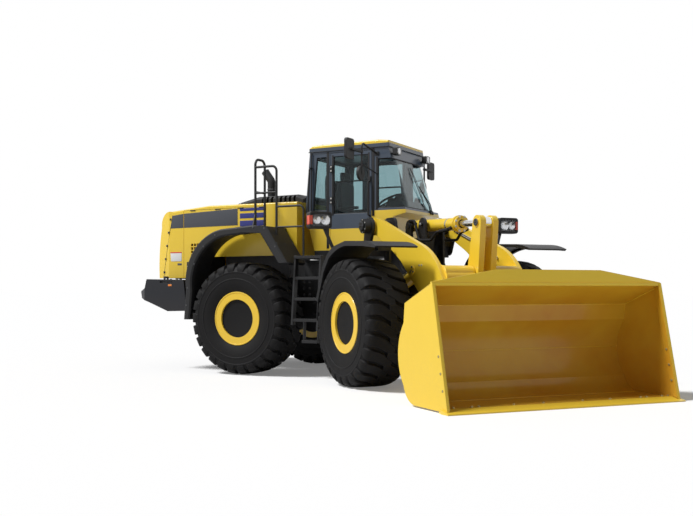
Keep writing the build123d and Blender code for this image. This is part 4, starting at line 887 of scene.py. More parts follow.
@dataclass
class Hood:
    """Trim, hinges, plates, bars and bolts on the hood, its doors and its top cover."""

    flat: float = 0.850
    taper_start: float = -3.50
    taper: float = 0.095 / 0.29
    film: float = 0.0025
    seam: Outline = ((-3.417, 2.538), (-3.49, 2.22), (-3.555, 1.936), (-3.647, 1.509))
    band_hood: Outline = ((-3.461, 2.318), (-3.196, 2.320), (-3.196, 2.552), (-3.428, 2.529))
    band_door: Outline = ((-3.182, 2.320), (-2.110, 2.328), (-2.110, 2.594), (-3.182, 2.554))
    bars: Sequence[tuple[float, float]] = ((2.548, 2.594), (2.432, 2.512), (2.306, 2.396))
    bar_reach: tuple[float, float] = (-2.066, -1.620)
    plate: Outline = ((-3.455, 1.769), (-3.233, 1.769), (-3.233, 1.921), (-3.468, 1.921))
    rib_start: float = -1.816
    rib_pitch: float = 0.084
    ribs: int = 8
    louvres: int = 6
    stack: tuple[float, float] = (-1.88, -0.2)
    mesh: float = 0.042

    def build(self) -> None:
        """Builds everything on the hood."""
        self.flanks()
        for word, side in SIDES.items():
            self.door(word, side)
        self.top()
        self.tail()

    def flank(self, x: float) -> float:
        """Half width of the hood at a station."""
        return self.flat - max(0.0, self.taper_start - x) * self.taper

    def flanks(self) -> None:
        """Band, seam, hinges and plates on both flanks."""
        band = Piece("hood_band", REAR, BAND)
        band.prism(self.band_hood, self.flat - 0.01, self.flat + self.film, bevel=0.001)
        band.made(mirror=True)
        seam = Piece("hood_seam", REAR, BLACK)
        seam.tube([(x, self.flank(x) - 0.001, z) for x, z in self.seam], 0.0045, 8)
        seam.made(mirror=True)
        fittings = Piece("hood_hinges", REAR, CAST)
        for share in (0.06, 0.28, 0.5, 0.72, 0.94):
            z = 2.53 - share * 1.0
            x = -3.434 - share * 0.185
            fittings.box((x - 0.030, self.flank(x) - 0.012, z - 0.017),
                         (x - 0.004, self.flank(x) + 0.012, z + 0.017))
            fittings.bolts([(x - 0.017, self.flank(x) + 0.012, z)], (0, 1, 0), 0.006, False)
        fittings.made(mirror=True)
        sign = Piece("hood_plates", REAR, WHITE)
        sign.prism(self.plate, self.flat - 0.02, self.flat + self.film, bevel=0.001)
        sign.dress(RED).prism(((-3.468, 1.905), (-3.233, 1.905), (-3.233, 1.922), (-3.470, 1.922)),
                              self.flat - 0.02, self.flat + 0.0035, bevel=0.0005)
        sign.dress(BAND).prism(oblong(-3.318, 1.702, -3.233, 1.735), self.flat - 0.02, self.flat + self.film,
                               bevel=0.0005)
        sign.made(mirror=True)

    def door(self, word: str, side: int) -> None:
        """Band, bars, latch and hinges of one engine door.

        Args:
            word: Which side, in words.
            side: 1 on the left, -1 on the right.
        """
        skin = sorted((side * (self.flat - 0.006), side * (self.flat + self.film)))
        body = f"engine_door_{word}"
        trim = Piece(f"door_band_{word}", REAR, BAND, body)
        trim.prism(self.band_door, *skin, bevel=0.001)
        trim.made()
        bars = Piece(f"door_bars_{word}", REAR, BLUE, body)
        for low, high in self.bars:
            bars.prism(oblong(self.bar_reach[0], low, self.bar_reach[1], high), *skin, bevel=0.001)
        bars.made()
        latch = Piece(f"door_latch_{word}", REAR, MOULDED, body)
        near, far = side * (self.flat - 0.004), side * (self.flat + 0.012)
        for x, z in ((-3.10, 1.70), (-2.30, 2.20)):
            latch.box((x - 0.018, min(near, far), z - 0.055), (x + 0.018, max(near, far), z + 0.055), 0.005)
            latch.dress(STEEL)
            latch.turned((x, far, z - 0.02), (0, side, 0), ((-0.002, 0.011), (0.003, 0.010), (0.003, 0.002)),
                         16)
            latch.dress(MOULDED)
        for x in (-3.0, -2.5, -2.05, -1.65):
            y = side * (self.flat + 0.004)
            latch.tube([(x - 0.05, y, 2.6), (x + 0.05, y, 2.6)], 0.008)
        latch.made()

    def top(self) -> None:
        """Bolts and louvres of the top cover, exhaust fittings, filler cap and seams."""
        cover = Piece("top_cover_bolts", REAR, STEEL)
        for x in (-2.28, -2.0, -1.55, -1.14):
            cover.bolts([(x, 0.512, 2.700)], (0, 1, 0), 0.007)
        cover.dress(CAST)
        for number in range(self.ribs):
            x = self.rib_start + number * self.rib_pitch - 0.022
            for level in range(self.louvres):
                z = 2.704 + level * 0.0135
                cover.box((x - 0.020, 0.462, z - 0.002), (x + 0.020, 0.474, z + 0.002), 0.0008)
        cover.made(mirror=True)
        stack = Piece("exhaust_fittings", REAR, CAST)
        x, y = self.stack
        stack.turned((x, y, 2.80), (0, 0, 1), ((0.0, 0.092), (0.012, 0.092), (0.012, 0.068), (0.03, 0.068)))
        stack.turned((x, y, 2.93), (0, 0, 1), ((0.0, 0.067), (0.001, 0.070), (0.021, 0.070), (0.022, 0.067)))
        stack.bolts([(x + 0.08, y, 2.812), (x - 0.08, y, 2.812), (x, y + 0.08, 2.812), (x, y - 0.08, 2.812)],
                    (0, 0, 1), 0.007)
        way = (-0.6, 0, 0.8)
        mouth = ((-0.012, 0.066), (0.002, 0.068), (0.006, 0.064), (0.003, 0.058), (-0.10, 0.057),
                 (-0.10, 0.001))
        stack.turned((-1.9985, y, 3.238), way, mouth, 40)
        stack.made()
        cap = Piece("filler_cap", REAR, STEEL)
        cap.turned((-0.992, -0.56, 2.46), (1, 0, 0),
                   ((-0.012, 0.030), (0.010, 0.030), (0.014, 0.024), (0.014, 0.006)))
        cap.made()
        seams = Piece("hood_top_seams", REAR, BLACK)
        for x, z in ((-1.05, 2.657), (-2.62, 2.666)):
            seams.tube([(x, -0.80, z), (x, 0.80, z)], 0.003, 8)
        seams.made()

    def tail(self) -> None:
        """Wire screen, bolts and latch of the grille."""
        grille = Piece("grille_screen", REAR, CAST, "rear_grille")
        for number in range(27):
            y = -0.546 + number * self.mesh
            grille.box((-3.722, y - 0.0015, 1.63), (-3.719, y + 0.0015, 2.262), 0.0004)
        for number in range(15):
            z = 1.65 + number * self.mesh
            grille.box((-3.7225, -0.555, z - 0.0015), (-3.7195, 0.555, z + 0.0015), 0.0004)
        grille.dress(STEEL)
        for z in (1.60, 2.28):
            x = -3.763 + (z - 1.566) * 0.0277
            grille.bolts([(x, y, z) for y in (-0.58, -0.3, 0.3, 0.58)], (-1, 0, 0), 0.008)
        grille.dress(MOULDED).box((-3.782, -0.05, 1.585), (-3.75, 0.05, 1.615), 0.006)
        grille.made()


@dataclass
class Tail:
    """Rear lamps, towing pin and fittings of the counterweight."""

    lamp_reach: tuple[float, float] = (0.715, 0.945)
    lamp_rise: tuple[float, float] = (1.352, 1.423)

    def build(self) -> None:
        """Builds the fittings."""
        low, high = self.lamp_rise
        inner, outer = self.lamp_reach
        lamps = Piece("rear_lamps", REAR, MOULDED)
        lamps.box((-3.645, inner, low), (-3.601, outer, high), 0.006)
        third = (outer - inner) / 3
        for number, finish in enumerate((LENS, AMBER, RED_LENS)):
            lamps.dress(finish).box((-3.652, inner + number * third + 0.006, low + 0.008),
                                    (-3.64, inner + (number + 1) * third - 0.006, high - 0.008), 0.004)
        lamps.made(mirror=True)
        fittings = Piece("counterweight_bolts", REAR, CAST)
        fittings.bolts([(x, y, 1.452) for y in (1.02, 1.18) for x in (-3.2, -3.0)], (0, 0, 1), 0.022)
        fittings.tube([(-3.36, 1.06, 1.44), (-3.36, 1.06, 1.50), (-3.36, 1.14, 1.50), (-3.36, 1.14, 1.44)],
                      0.016)
        fittings.made(mirror=True)
        slot = Piece("counterweight_slot", REAR, CAST)
        slot.box((-3.325, 1.262, 1.412), (-3.085, 1.268, 1.432), 0.002)
        slot.dress(AMBER).box((-3.16, 1.296, 1.355), (-3.09, 1.3035, 1.385), 0.002)
        slot.made(mirror=True)
        pin = Piece("towing_pin", REAR, STEEL)
        pin.turned((-3.69, 0, 1.10), (0, 0, 1),
                   ((-0.006, 0.046), (0.006, 0.046), (0.006, 0.0243), (0.188, 0.0243), (0.19, 0.021)), 32)
        pin.tube([(-3.69, 0.03, 1.095), (-3.69, 0.085, 1.085), (-3.69, 0.10, 1.12), (-3.69, 0.10, 1.16)],
                 0.005, 8)
        pin.made()


@dataclass
class Fenders:
    """Edge bolts, flaps and stays of the four fenders, with stations counted from their axle."""

    axle: float = 1.725
    outer: float = 1.45
    rear_edge: Outline = (
        (-0.955, 1.05), (-0.93, 1.32), (-0.80, 1.70), (-0.62, 1.97), (-0.40, 2.14), (0.0, 2.228),
        (0.30, 2.236),
        (0.50, 2.215), (0.69, 1.94),
    )
    front_edge: Outline = (
        (-0.90, 1.155), (-0.77, 1.42), (-0.62, 1.655), (-0.40, 1.83), (0.0, 1.928), (0.40, 1.918),
        (0.76, 1.882),
    )
    flap: Outline = ((-0.905, 1.145), (-0.893, 1.14), (-0.93, 0.86), (-0.942, 0.865))

    def build(self) -> None:
        """Builds the fender fittings."""
        rear = Piece("rear_fender_trim", REAR, MOULDED)
        rims = [(x - self.axle, self.outer - 0.001, z) for x, z in self.rear_edge]
        rear.dress(CAST).bolts(rims, (0, 1, 0), 0.009)
        rear.bolts([(0.70 - self.axle, y, 1.994) for y in (0.95, 1.16, 1.40)], (0.83, 0, 0.56), 0.008)
        seam = 0.40 - self.axle
        rear.dress(MOULDED).tube([(seam, 0.905, 2.224), (seam, 1.36, 2.224)], 0.006, 8)
        rear.made(mirror=True)
        front = Piece("front_fender_trim", FRONT, MOULDED)
        rims = [(x + self.axle, self.outer - 0.002, z) for x, z in self.front_edge]
        front.dress(CAST).bolts(rims, (0, 1, 0), 0.008)
        front.dress(MOULDED).prism([(x + self.axle, z) for x, z in self.flap], 0.88, 1.43, bevel=0.002)
        stay = self.axle - 0.115
        front.dress(CAST).bolts([(stay, y, 1.9015) for y in (0.73, 0.80, 0.87)], (0, 0, 1), 0.010)
        front.bolts([(stay + dx, 0.731, z) for dx in (-0.03, 0.03) for z in (1.12, 1.25)], (0, 1, 0), 0.011)
        front.made(mirror=True)


@dataclass
class Ladder:
    """Teeth of the steps, deck grip and their bolts."""

    rear: float = -0.800
    front: float = -0.340
    deck: float = 1.8
    heights: Sequence[float] = (0.85, 1.16, 1.47)
    lowest: float = 0.54
    pitch: float = 0.030
    grip_rows: int = 12
    grip_columns: int = 22

    def across(self, height: float) -> float:
        """Distance across of the ladder's middle at a height."""
        return 1.365 - (height - 0.520) * 0.120 / 1.240

    def row(self, piece: Piece, start: float, height: float, count: int, inner: float, outer: float) -> None:
        """One row of teeth along a step.

        Args:
            piece: The piece that it is added to.
            start: Station of the first tooth.
            height: The step's middle.
            count: How many teeth.
            inner: Where the row starts, from the ladder's middle.
            outer: Where it ends.
        """
        middle = self.across(height)
        for number in range(count):
            x = start + number * self.pitch
            foot, top = height + 0.018, height + 0.028
            piece.prism(((x - 0.006, foot), (x + 0.006, foot), (x + 0.003, top), (x - 0.003, top)),
                        middle + inner, middle + outer)

    def build(self) -> None:
        """Builds the grip of the steps and of the deck."""
        teeth = Piece("step_teeth", REAR, BLACK)
        for height in self.heights:
            for inner, outer in ((-0.093, -0.072), (0.017, 0.038)):
                self.row(teeth, self.rear + 0.050, height, 13, inner, outer)
        self.row(teeth, self.front - 0.24, self.lowest, 8, -0.09, 0.035)
        teeth.made(mirror=True)
        deck = Piece("deck_grip", REAR, BLACK)
        for row in range(self.grip_rows):
            for column in range(self.grip_columns):
                x = self.rear + 0.03 + row * 0.036 + (0.018 if column % 2 else 0.0)
                y = 0.72 + column * 0.026
                deck.turned((x, y, self.deck), (0, 0, 1), ((-0.001, 0.0075), (0.003, 0.006), (0.0035, 0.003)),
                            6)
        rail = self.across(1.74)
        deck.dress(CAST).bolts([(x, rail + dy, self.deck) for x in (self.rear + 0.015, self.front - 0.015)
                                for dy in (-0.025, 0.025)], (0, 0, 1), 0.009)
        for height in (0.79, 0.83):
            deck.bolts([(self.front - 0.0045, self.across(height) - 0.02, height)], (1, 0, 0), 0.008)
        deck.made(mirror=True)


@dataclass
class Cab:
    """Glazing seals, wiper, handles, gutters, hinges, lamps, aerial and mirror glass."""

    wall: float = 0.640
    nose: tuple[float, float] = (0.720, 2.430)
    eave: tuple[float, float] = (0.430, 3.420)
    tail: tuple[float, float] = (-0.980, 2.500)
    tail_top: tuple[float, float] = (-0.900, 3.420)
    window_low: float = 2.510
    window_high: float = 3.330
    screen_high: float = 3.250
    # dark strips on the pillars: oblongs of the flank, and how deep each starts and ends on the wall
    strips: Sequence[tuple[tuple[float, float, float, float], float, float]] = (
        ((-0.603, 1.93, -0.563, 3.405), -0.006, 0.005),
        ((0.166, 2.40, 0.206, 3.405), -0.006, 0.005),
        ((0.232, 2.492, 0.262, 3.27), -0.02, 0.004),
    )

    def front(self, height: float) -> float:
        """Station of the raked front face at a height."""
        share = (self.eave[1] - height) / (self.eave[1] - self.nose[1])
        return self.eave[0] + (self.nose[0] - self.eave[0]) * share

    def rear(self, height: float) -> float:
        """Station of the upper rear face at a height."""
        share = (height - self.tail[1]) / (self.tail_top[1] - self.tail[1])
        return self.tail[0] + (self.tail_top[0] - self.tail[0]) * share

    def build(self) -> None:
        """Builds all that is fixed to the outside of the cab."""
        self.seals()
        self.screen()
        self.roof()
        self.mirrors()
        for word, side in SIDES.items():
            self.door(word, side)

    def seals(self) -> None:
        """Rubber seals round the fixed panes and the pillars' dark strips."""
        seal = Piece("window_seals", REAR, SEAL)
        low, high = self.window_low, self.window_high
        pane = [(self.rear(low) + 0.130, low), (self.rear(high) + 0.130, high), (-0.607, high), (-0.607, low)]
        y = self.wall - 0.018
        seal.tube([(x, y, z) for x, z in pane + pane[:1]], 0.011, 8)
        for strip, sunk, proud in self.strips:
            seal.prism(oblong(*strip), self.wall + sunk, self.wall + proud, bevel=0.002)
        seal.tube([(0.262, y, low), (0.262, y, self.screen_high)], 0.012, 8)
        seal.made(mirror=True)
        back = Piece("rear_window_seal", REAR, SEAL)
        low, half = self.window_low + 0.05, 0.545
        ring = [(self.rear(z) + 0.012, y, z) for y, z in oblong(-half, low, half, high)]
        back.tube(ring + ring[:1], 0.012, 8)
        back.made()

    def screen(self) -> None:
        """Windshield header, sill seal and the wiper with its two arms."""
        trim = Piece("windshield_trim", REAR, SEAL)
        for height in (self.window_low + 0.006, self.screen_high - 0.006):
            reach = self.front(height) - 0.016
            half = self.wall - 0.022
            corner = [(0.262, half, height), (reach - 0.175, half, height)]
            turn = arc((reach - 0.175, half - 0.175), 0.175, 75, 0, 5)
            corner += [(x, y, height) for x, y in turn]
            trim.tube(corner + [(x, -y, z) for x, y, z in reversed(corner)], 0.011, 8)
        trim.made()
        wiper = Piece("wiper", REAR, MOULDED)
        clear = 0.004

        def on_screen(height: float, across: float, lift: float = 0.0) -> Point:
            """Point just outside the windshield."""
            return (self.front(height) + clear + lift, across, height)

        blade_top, blade_low, hub = (3.16, -0.02), (2.60, 0.13), (2.475, 0.02)
        middle = ((blade_top[0] + blade_low[0]) / 2, (blade_top[1] + blade_low[1]) / 2)
        wiper.tube([on_screen(*blade_low), on_screen(*blade_top)], 0.006, 8)
        wiper.tube([on_screen(blade_low[0] + 0.05, blade_low[1] - 0.013, 0.014),
                    on_screen(middle[0], middle[1], 0.022),
                    on_screen(blade_top[0] - 0.05, blade_top[1] + 0.013, 0.014)], 0.004, 8)
        wiper.tube([on_screen(hub[0], hub[1] + 0.30, 0.0), on_screen(2.60, 0.26, 0.03),
                    on_screen(middle[0], middle[1] + 0.005, 0.03)], (0.012, 0.010, 0.006), 8)
        wiper.tube([on_screen(hub[0], hub[1] + 0.37, 0.0), on_screen(2.62, 0.33, 0.028),
                    on_screen(middle[0] - 0.03, middle[1] + 0.016, 0.03)], (0.009, 0.007, 0.005), 8)
        for shift in (0.30, 0.37):
            wiper.turned(on_screen(hub[0], hub[1] + shift, -0.02), (0.95, 0, 0.3),
                         ((0, 0.024), (0.03, 0.022), (0.036, 0.012)), 20)
        wiper.made()

    def door(self, word: str, side: int) -> None:
        """Seal, frame, hinges, latch and bars of one door.

        Args:
            word: Which side, in words.
            side: 1 on the left, -1 on the right.
        """
        y = side * self.wall
        piece = Piece(f"door_fittings_{word}", REAR, SEAL, f"cab_door_{word}")
        pane = [(-0.485, 2.45), (-0.485, 3.33), (0.10, 3.33), (0.10, 2.45)]
        piece.tube([(x, y - side * 0.018, z) for x, z in pane + pane[:1]], 0.011, 8)
        out = sorted((y - side * 0.004, y + side * 0.003))
        for (x, z), (u, w) in zip(pane, pane[1:] + pane[:1]):
            if x == u:
                wide = 0.030 if x < 0 else 0.024
                ends = (x - wide, x) if x < 0 else (x, x + wide)
                piece.prism(oblong(ends[0], min(z, w) - 0.02, ends[1], max(z, w) + 0.02), *out, bevel=0.001)
        for z in (2.66, 3.14):
            near, far = sorted((y, y + side * 0.020))
            piece.dress(SEAL).box((-0.545, near, z - 0.055), (-0.495, far, z + 0.055), 0.006)
            piece.dress(STEEL)
            piece.bolts([(-0.52, y + side * 0.020, z + dz) for dz in (-0.03, 0.03)], (0, side, 0), 0.008)
        piece.dress(MOULDED)
        piece.tube([(0.13, y, 2.40), (0.13, y + side * 0.055, 2.42), (0.13, y + side * 0.055, 2.90),
                    (0.13, y, 2.92)], 0.014)
        for depth, (left, low, right, high), bevel in ((0.024, (0.105, 2.91, 0.150, 2.99), 0.008),
                                                       (0.016, (0.075, 2.20, 0.145, 2.33), 0.01)):
            near, far = sorted((y, y + side * depth))
            piece.box((left, near, low), (right, far, high), bevel)
        piece.tube([(-0.50, y - side * 0.05, 2.95), (-0.48, y - side * 0.085, 2.95),
                    (0.10, y - side * 0.085, 2.95),
                    (0.12, y - side * 0.05, 2.95)], 0.011)
        piece.made()

    def roof(self) -> None:
        """Gutters, drain pipes, bolts, aerial and lamp lenses."""
        roof = Piece("roof_trim", REAR, MOULDED)
        roof.box((-0.915, 0.645, 3.412), (0.44, 0.658, 3.424), 0.003)
        roof.tube([(-0.86, 0.662, 3.40), (-0.86, 0.664, 2.52), (-0.90, 0.664, 2.43), (-0.93, 0.664, 2.28)],
                  0.010)
        roof.dress(STEEL).bolts([(x, 0.60, 3.531 - abs(x + 0.3) * 0.02) for x in (-0.70, 0.12)], (0, 0, 1),
                                0.012)
        roof.made(mirror=True)
        aerial = Piece("aerial", REAR, MOULDED)
        aerial.turned((-0.78, -0.60, 3.49), (0, 0, 1), ((0, 0.022), (0.02, 0.020), (0.03, 0.008)), 20)
        aerial.tube([(-0.78, -0.60, 3.515), (-0.785, -0.60, 3.528)], (0.004, 0.003), 6)
        aerial.made()
        lamps = Piece("roof_lamp_lenses", REAR, CHROME)
        lamps.turned((0.5675, 0.55, 3.345), (1, 0, 0), ((-0.002, 0.045), (0.002, 0.046), (0.003, 0.038)), 32)
        lamps.dress(LENS).prism(oblong(0.48, 3.294, 0.62, 3.396), 0.5672, 0.574, Plane.FACE, 0.004)
        lamps.made(mirror=True)

    def mirrors(self) -> None:
        """Glass of the square mirrors and the round ones."""
        glass = Piece("mirror_glass", REAR, MIRROR)
        glass.prism(oblong(1.395, 3.17, 1.585, 3.41), 0.2028, 0.2055, Plane.FACE, 0.001)
        glass.turned((0.2125, 1.15, 2.98), (-1, 0, 0),
                     ((0, 0.088), (0.0025, 0.088), (0.004, 0.05), (0.0045, 0.002)), 40)
        glass.dress(MOULDED).turned((0.245, 1.15, 3.05), (0, 0, 1), ((-0.02, 0.019), (0.03, 0.019)), 16)
        glass.dress(CAST).bolts([(0.25, 1.49, 3.285)], (0, 1, 0), 0.008)
        glass.made(mirror=True)


@dataclass
class Seat:
    """Sprung driver's seat with cloth cushions on a moulded shell."""

    base: float = 1.95

    def build(self) -> None:
        """Builds the seat in place of its plain CAD blocks."""
        shell = Piece("seat_shell", REAR, TRIM)
        shell.box((-0.50, -0.20, self.base), (-0.12, 0.20, 2.03), 0.01)
        for number in range(7):
            z = 2.035 + number * 0.036
            tuck = (number % 2) * 0.012
            shell.box((-0.48 + tuck, -0.18, z), (-0.15 - tuck, 0.18, z + 0.030), 0.008)
        shell.box((-0.56, -0.24, 2.29), (-0.06, 0.24, 2.345), 0.02)
        shell.box((-0.70, -0.22, 2.36), (-0.655, 0.22, 2.98), 0.02)
        shell.box((-0.672, -0.06, 2.95), (-0.652, 0.06, 3.03), 0.004)
        for side in SIDES.values():
            low, high = sorted((side * 0.262, side * 0.318))
            shell.box((-0.60, low, 2.545), (-0.24, high, 2.590), 0.018)
            shell.box((-0.64, low + 0.01, 2.40), (-0.58, high - 0.01, 2.56), 0.012)
            shell.dress(CAST).turned((-0.61, side * 0.235, 2.37), (0, side, 0), ((0, 0.04), (0.025, 0.036)),
                                     24)
            shell.dress(TRIM)
        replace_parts(shell.made(), "seat")
        for name, low, high, fill in (
                ("seat_cushion", (-0.56, -0.235, 2.345), (-0.07, 0.235, 2.455), 0.6),
                ("seat_back", (-0.655, -0.235, 2.43), (-0.565, 0.235, 2.99), 0.6),
                ("seat_headrest", (-0.655, -0.13, 3.02), (-0.585, 0.13, 3.155), 0.7)):
            cushion = Piece(name, REAR, CLOTH)
            cushion.smooth_over = 80.0
            cushion.quilt(low, high)
            cushion.made()


class Controls:
    """Levers, pedals, dash and side monitor."""

    def build(self) -> None:
        """Builds the controls."""
        piece = Piece("controls", REAR, TRIM)
        for x, y in ((-0.05, -0.385), (0.03, -0.385), (-0.02, -0.43)):
            piece.tube([(x, y, 2.47), (x + 0.015, y, 2.56), (x + 0.02, y, 2.62)], (0.009, 0.007, 0.007), 10)
            piece.turned((x + 0.02, y, 2.61), (0.1, 0, 1),
                         ((0, 0.012), (0.015, 0.020), (0.045, 0.019), (0.055, 0.008)), 16)
        piece.box((-0.46, -0.46, 2.478), (-0.12, -0.31, 2.50), 0.01)
        for y in (-0.20, 0.14):
            piece.prism([(0.40, 1.99), (0.47, 2.13), (0.455, 2.137), (0.385, 2.0)], y - 0.045, y + 0.045,
                        bevel=0.004)
            piece.dress(CAST).tube([(0.41, y, 2.03), (0.44, y, 1.955)], 0.008, 8).dress(TRIM)
        piece.box((0.335, -0.20, 2.655), (0.47, 0.20, 2.76), 0.03)
        piece.dress(PANEL).prism(oblong(-0.17, 2.675, 0.17, 2.745), 0.3325, 0.336, Plane.FACE, 0.002)
        piece.prism(oblong(0.24, 2.62, 0.38, 2.70), 0.46, 0.475, Plane.FACE, 0.004)
        piece.dress(TRIM).box((0.472, 0.22, 2.60), (0.50, 0.40, 2.72), 0.01)
        piece.made()


@dataclass
class FrontLamps:
    """Clear lamp and corner indicator of each headlight."""

    face: float = 1.155
    height: float = 2.262

    def build(self) -> None:
        """Builds the lamps."""
        z = self.height
        lamp = Piece("headlamp_bowls", FRONT, CHROME)
        for y, size in ((1.475, 0.064), (1.600, 0.052)):
            bowl = ((0.0, size), (0.038, size + 0.006), (0.034, size * 0.96), (0.008, size * 0.5),
                    (0.004, 0.01))
            lamp.dress(CHROME).turned((self.face + 0.002, y, z), (1, 0, 0), bowl, 40)
            bulb = ((0, 0.012), (0.012, 0.012), (0.016, 0.006))
            lamp.dress(LENS).turned((self.face + 0.012, y, z), (1, 0, 0), bulb, 16)
        lamp.dress(CAST).box((self.face - 0.002, 1.405, z - 0.085), (self.face + 0.004, 1.685, z + 0.085),
                             0.002)
        lamp.dress(LENS).prism(oblong(1.408, z - 0.084, 1.662, z + 0.084), self.face + 0.040,
                               self.face + 0.046,
                               Plane.FACE, 0.003)
        lamp.made(mirror=True)
        side = Piece("indicators", FRONT, INDICATOR)
        corner = ((-0.055, 1.668), (0.047, 1.668), (0.050, 1.700), (0.032, 1.7155), (-0.055, 1.7155))
        side.prism([(self.face + x, y) for x, y in corner], z - 0.062, z + 0.062, Plane.TOP, 0.006)
        side.dress(CAST).bolts([(1.049, 1.42, z + 0.05), (1.049, 1.42, z - 0.02)], (-1, 0, 0), 0.009)
        side.made(mirror=True)


@dataclass(frozen=True)
class Cylinder:
    """One cylinder of the loader linkage, from its base pin to its rod's eye."""

    name: str
    body: str
    base: tuple[float, float]
    head: tuple[float, float]
    line: float
    length: float
    gland: float
    piped: bool


@dataclass
class Linkage:
    """Pin caps, grease fittings, retainers, glands and pipes of the loader linkage."""

    boom_pivot: tuple[float, float] = (0.980, 2.210)
    bucket_pivot: tuple[float, float] = (3.280, 0.430)
    lever_pivot: tuple[float, float] = (2.780, 1.450)
    lever_top: tuple[float, float] = (2.880, 2.160)
    lever_foot: tuple[float, float] = (2.552, 0.788)
    link_head: tuple[float, float] = (3.407, 0.745)
    lift_base: tuple[float, float] = (0.760, 1.100)
    lift_head: tuple[float, float] = (2.120, 1.560)
    tilt_base: tuple[float, float] = (1.120, 2.220)
    arm: tuple[float, float] = (0.570, 0.630)
    lift_line: float = 0.470
    lift_length: float = 1.300
    tilt_length: float = 1.215
    plate_bolts: Outline = (
        (0.66, 1.3), (0.66, 0.86), (1.02, 1.36), (1.30, 1.36), (1.42, 1.22), (2.10, 1.05), (2.10, 0.86),
    )
    cap_circle: float = 0.68
    gland_bolts: int = 8

    def cap(self, piece: Piece, pin: tuple[float, float], y: float, radius: float, bolts: int = 3,
            finish: Union[Finish, None] = None) -> None:
        """Domed cap on a pin's end with bolts and a grease fitting.

        Args:
            piece: The piece that it is added to.
            pin: The pin's axis, (x, z).
            y: Where the cap sits.
            radius: Its radius.
            bolts: How many bolts it has.
            finish: Its finish, where it isn't the casting's.
        """
        side = 1 if y > 0 else -1
        way = (0, side, 0)
        piece.dress(finish or CAST).turned((pin[0], y, pin[1]), way, (
            (-0.002, radius), (0.008, radius), (0.012, radius * 0.92), (0.012, radius * 0.3)), 36)
        face = (pin[0], y + side * 0.012, pin[1])
        piece.dress(CAST).bolts(circle(face, radius * self.cap_circle, bolts, 90), way, 0.009)
        piece.turned(face, way, ((0, 0.007), (0.008, 0.007), (0.012, 0.003), (0.017, 0.004)), 8)

    def bead(self, piece: Piece, points: Sequence[Point], radius: float = 0.006) -> None:
        """Weld bead along points."""
        piece.dress(YELLOW).tube(points, radius, 8)

    def build(self) -> None:
        """Builds the fittings of each moving body."""
        self.frame_fittings()
        self.boom()
        self.lever()
        self.cylinders()

    def frame_fittings(self) -> None:
        """Pin caps, bolts and pipes that stay with the front frame."""
        piece = Piece("front_frame_pins", FRONT, CAST)
        self.cap(piece, self.boom_pivot, 0.814, 0.072, 4, BLACK)
        ring = circle((self.boom_pivot[0], 0.800, self.boom_pivot[1]), 0.088, 6, 30)
        piece.dress(STEEL).bolts(ring, (0, 1, 0), 0.008)
        piece.turned((1.55, 0.177, 2.217), (0, 1, 0), ((0, 0.020), (0.014, 0.020), (0.017, 0.013)), 6)
        piece.dress(BLACK)
        piece.bolts([(x, 0.370, z) for x, z in self.plate_bolts], (0, 1, 0), 0.016)
        piece.made(mirror=True)
        lines = Piece("front_frame_lines", FRONT, STEEL)
        for y in (-0.20, -0.15, 0.15, 0.20):
            lines.tube([(0.864, y, 1.46), (0.862, y, 1.98), (0.90, y, 2.052), (1.02, y, 2.052)], 0.009, 8)
            lines.turned((0.862, y, 1.86), (0, 0, 1), ((0, 0.015), (0.03, 0.015)), 6)
        lines.dress(BLACK)
        for z in (1.58, 1.82):
            lines.box((0.858, -0.23, z - 0.012), (0.876, 0.23, z + 0.012), 0.003)
        lines.made()

    def boom(self) -> None:
        """Caps, bosses, beads and pipes on the boom."""
        piece = Piece("boom_fittings", FRONT, YELLOW, "boom")
        outer = self.arm[1]
        self.cap(piece, self.lift_head, outer - 0.001, 0.062, 3, YELLOW)
        piece.dress(YELLOW).turned((self.boom_pivot[0], outer - 0.002, self.boom_pivot[1]), (0, 1, 0),
                                   ((0, 0.104), (0.014, 0.104), (0.018, 0.098), (0.018, 0.056), (0, 0.056)),
                                   48, True)
        piece.turned((self.bucket_pivot[0], 0.5655, self.bucket_pivot[1]), (0, 1, 0),
                     collar(0.002, 0.004, 0.098, 0.05), 40, True)
        weld = self.arm[0] - 0.002
        for x, z in ((2.40, 1.335), (2.885, 1.40)):
            self.bead(piece, [(x, weld, z), (x + 0.008, weld, z + 0.10)])
        tube_top = ((2.396, 1.545), (2.412, 1.590), (2.465, 1.614), (2.75, 1.614), (2.815, 1.592),
                    (2.868, 1.522))
        tube_foot = ((2.382, 1.328), (2.76, 1.328), (2.83, 1.343))
        for line in (tube_top, tube_foot):
            self.bead(piece, [(x, weld, z) for x, z in line], 0.007)
        piece.dress(STEEL)
        for drop in (0.0, 0.026):
            run = ((1.22, 2.20), (1.60, 2.06), (2.10, 1.88), (2.34, 1.74))
            piece.tube([(x, 0.552, z - drop) for x, z in run], 0.008, 8)
        piece.dress(BLACK)
        for x, z in ((1.36, 2.137), (1.72, 2.005), (2.06, 1.882)):
            piece.box((x - 0.02, 0.536, z - 0.032), (x + 0.02, 0.5705, z + 0.024), 0.004)
        piece.dress(STEEL).bolts([(2.30, outer, 1.62), (2.36, outer, 1.62)], (0, 1, 0), 0.010)
        piece.made(mirror=True)

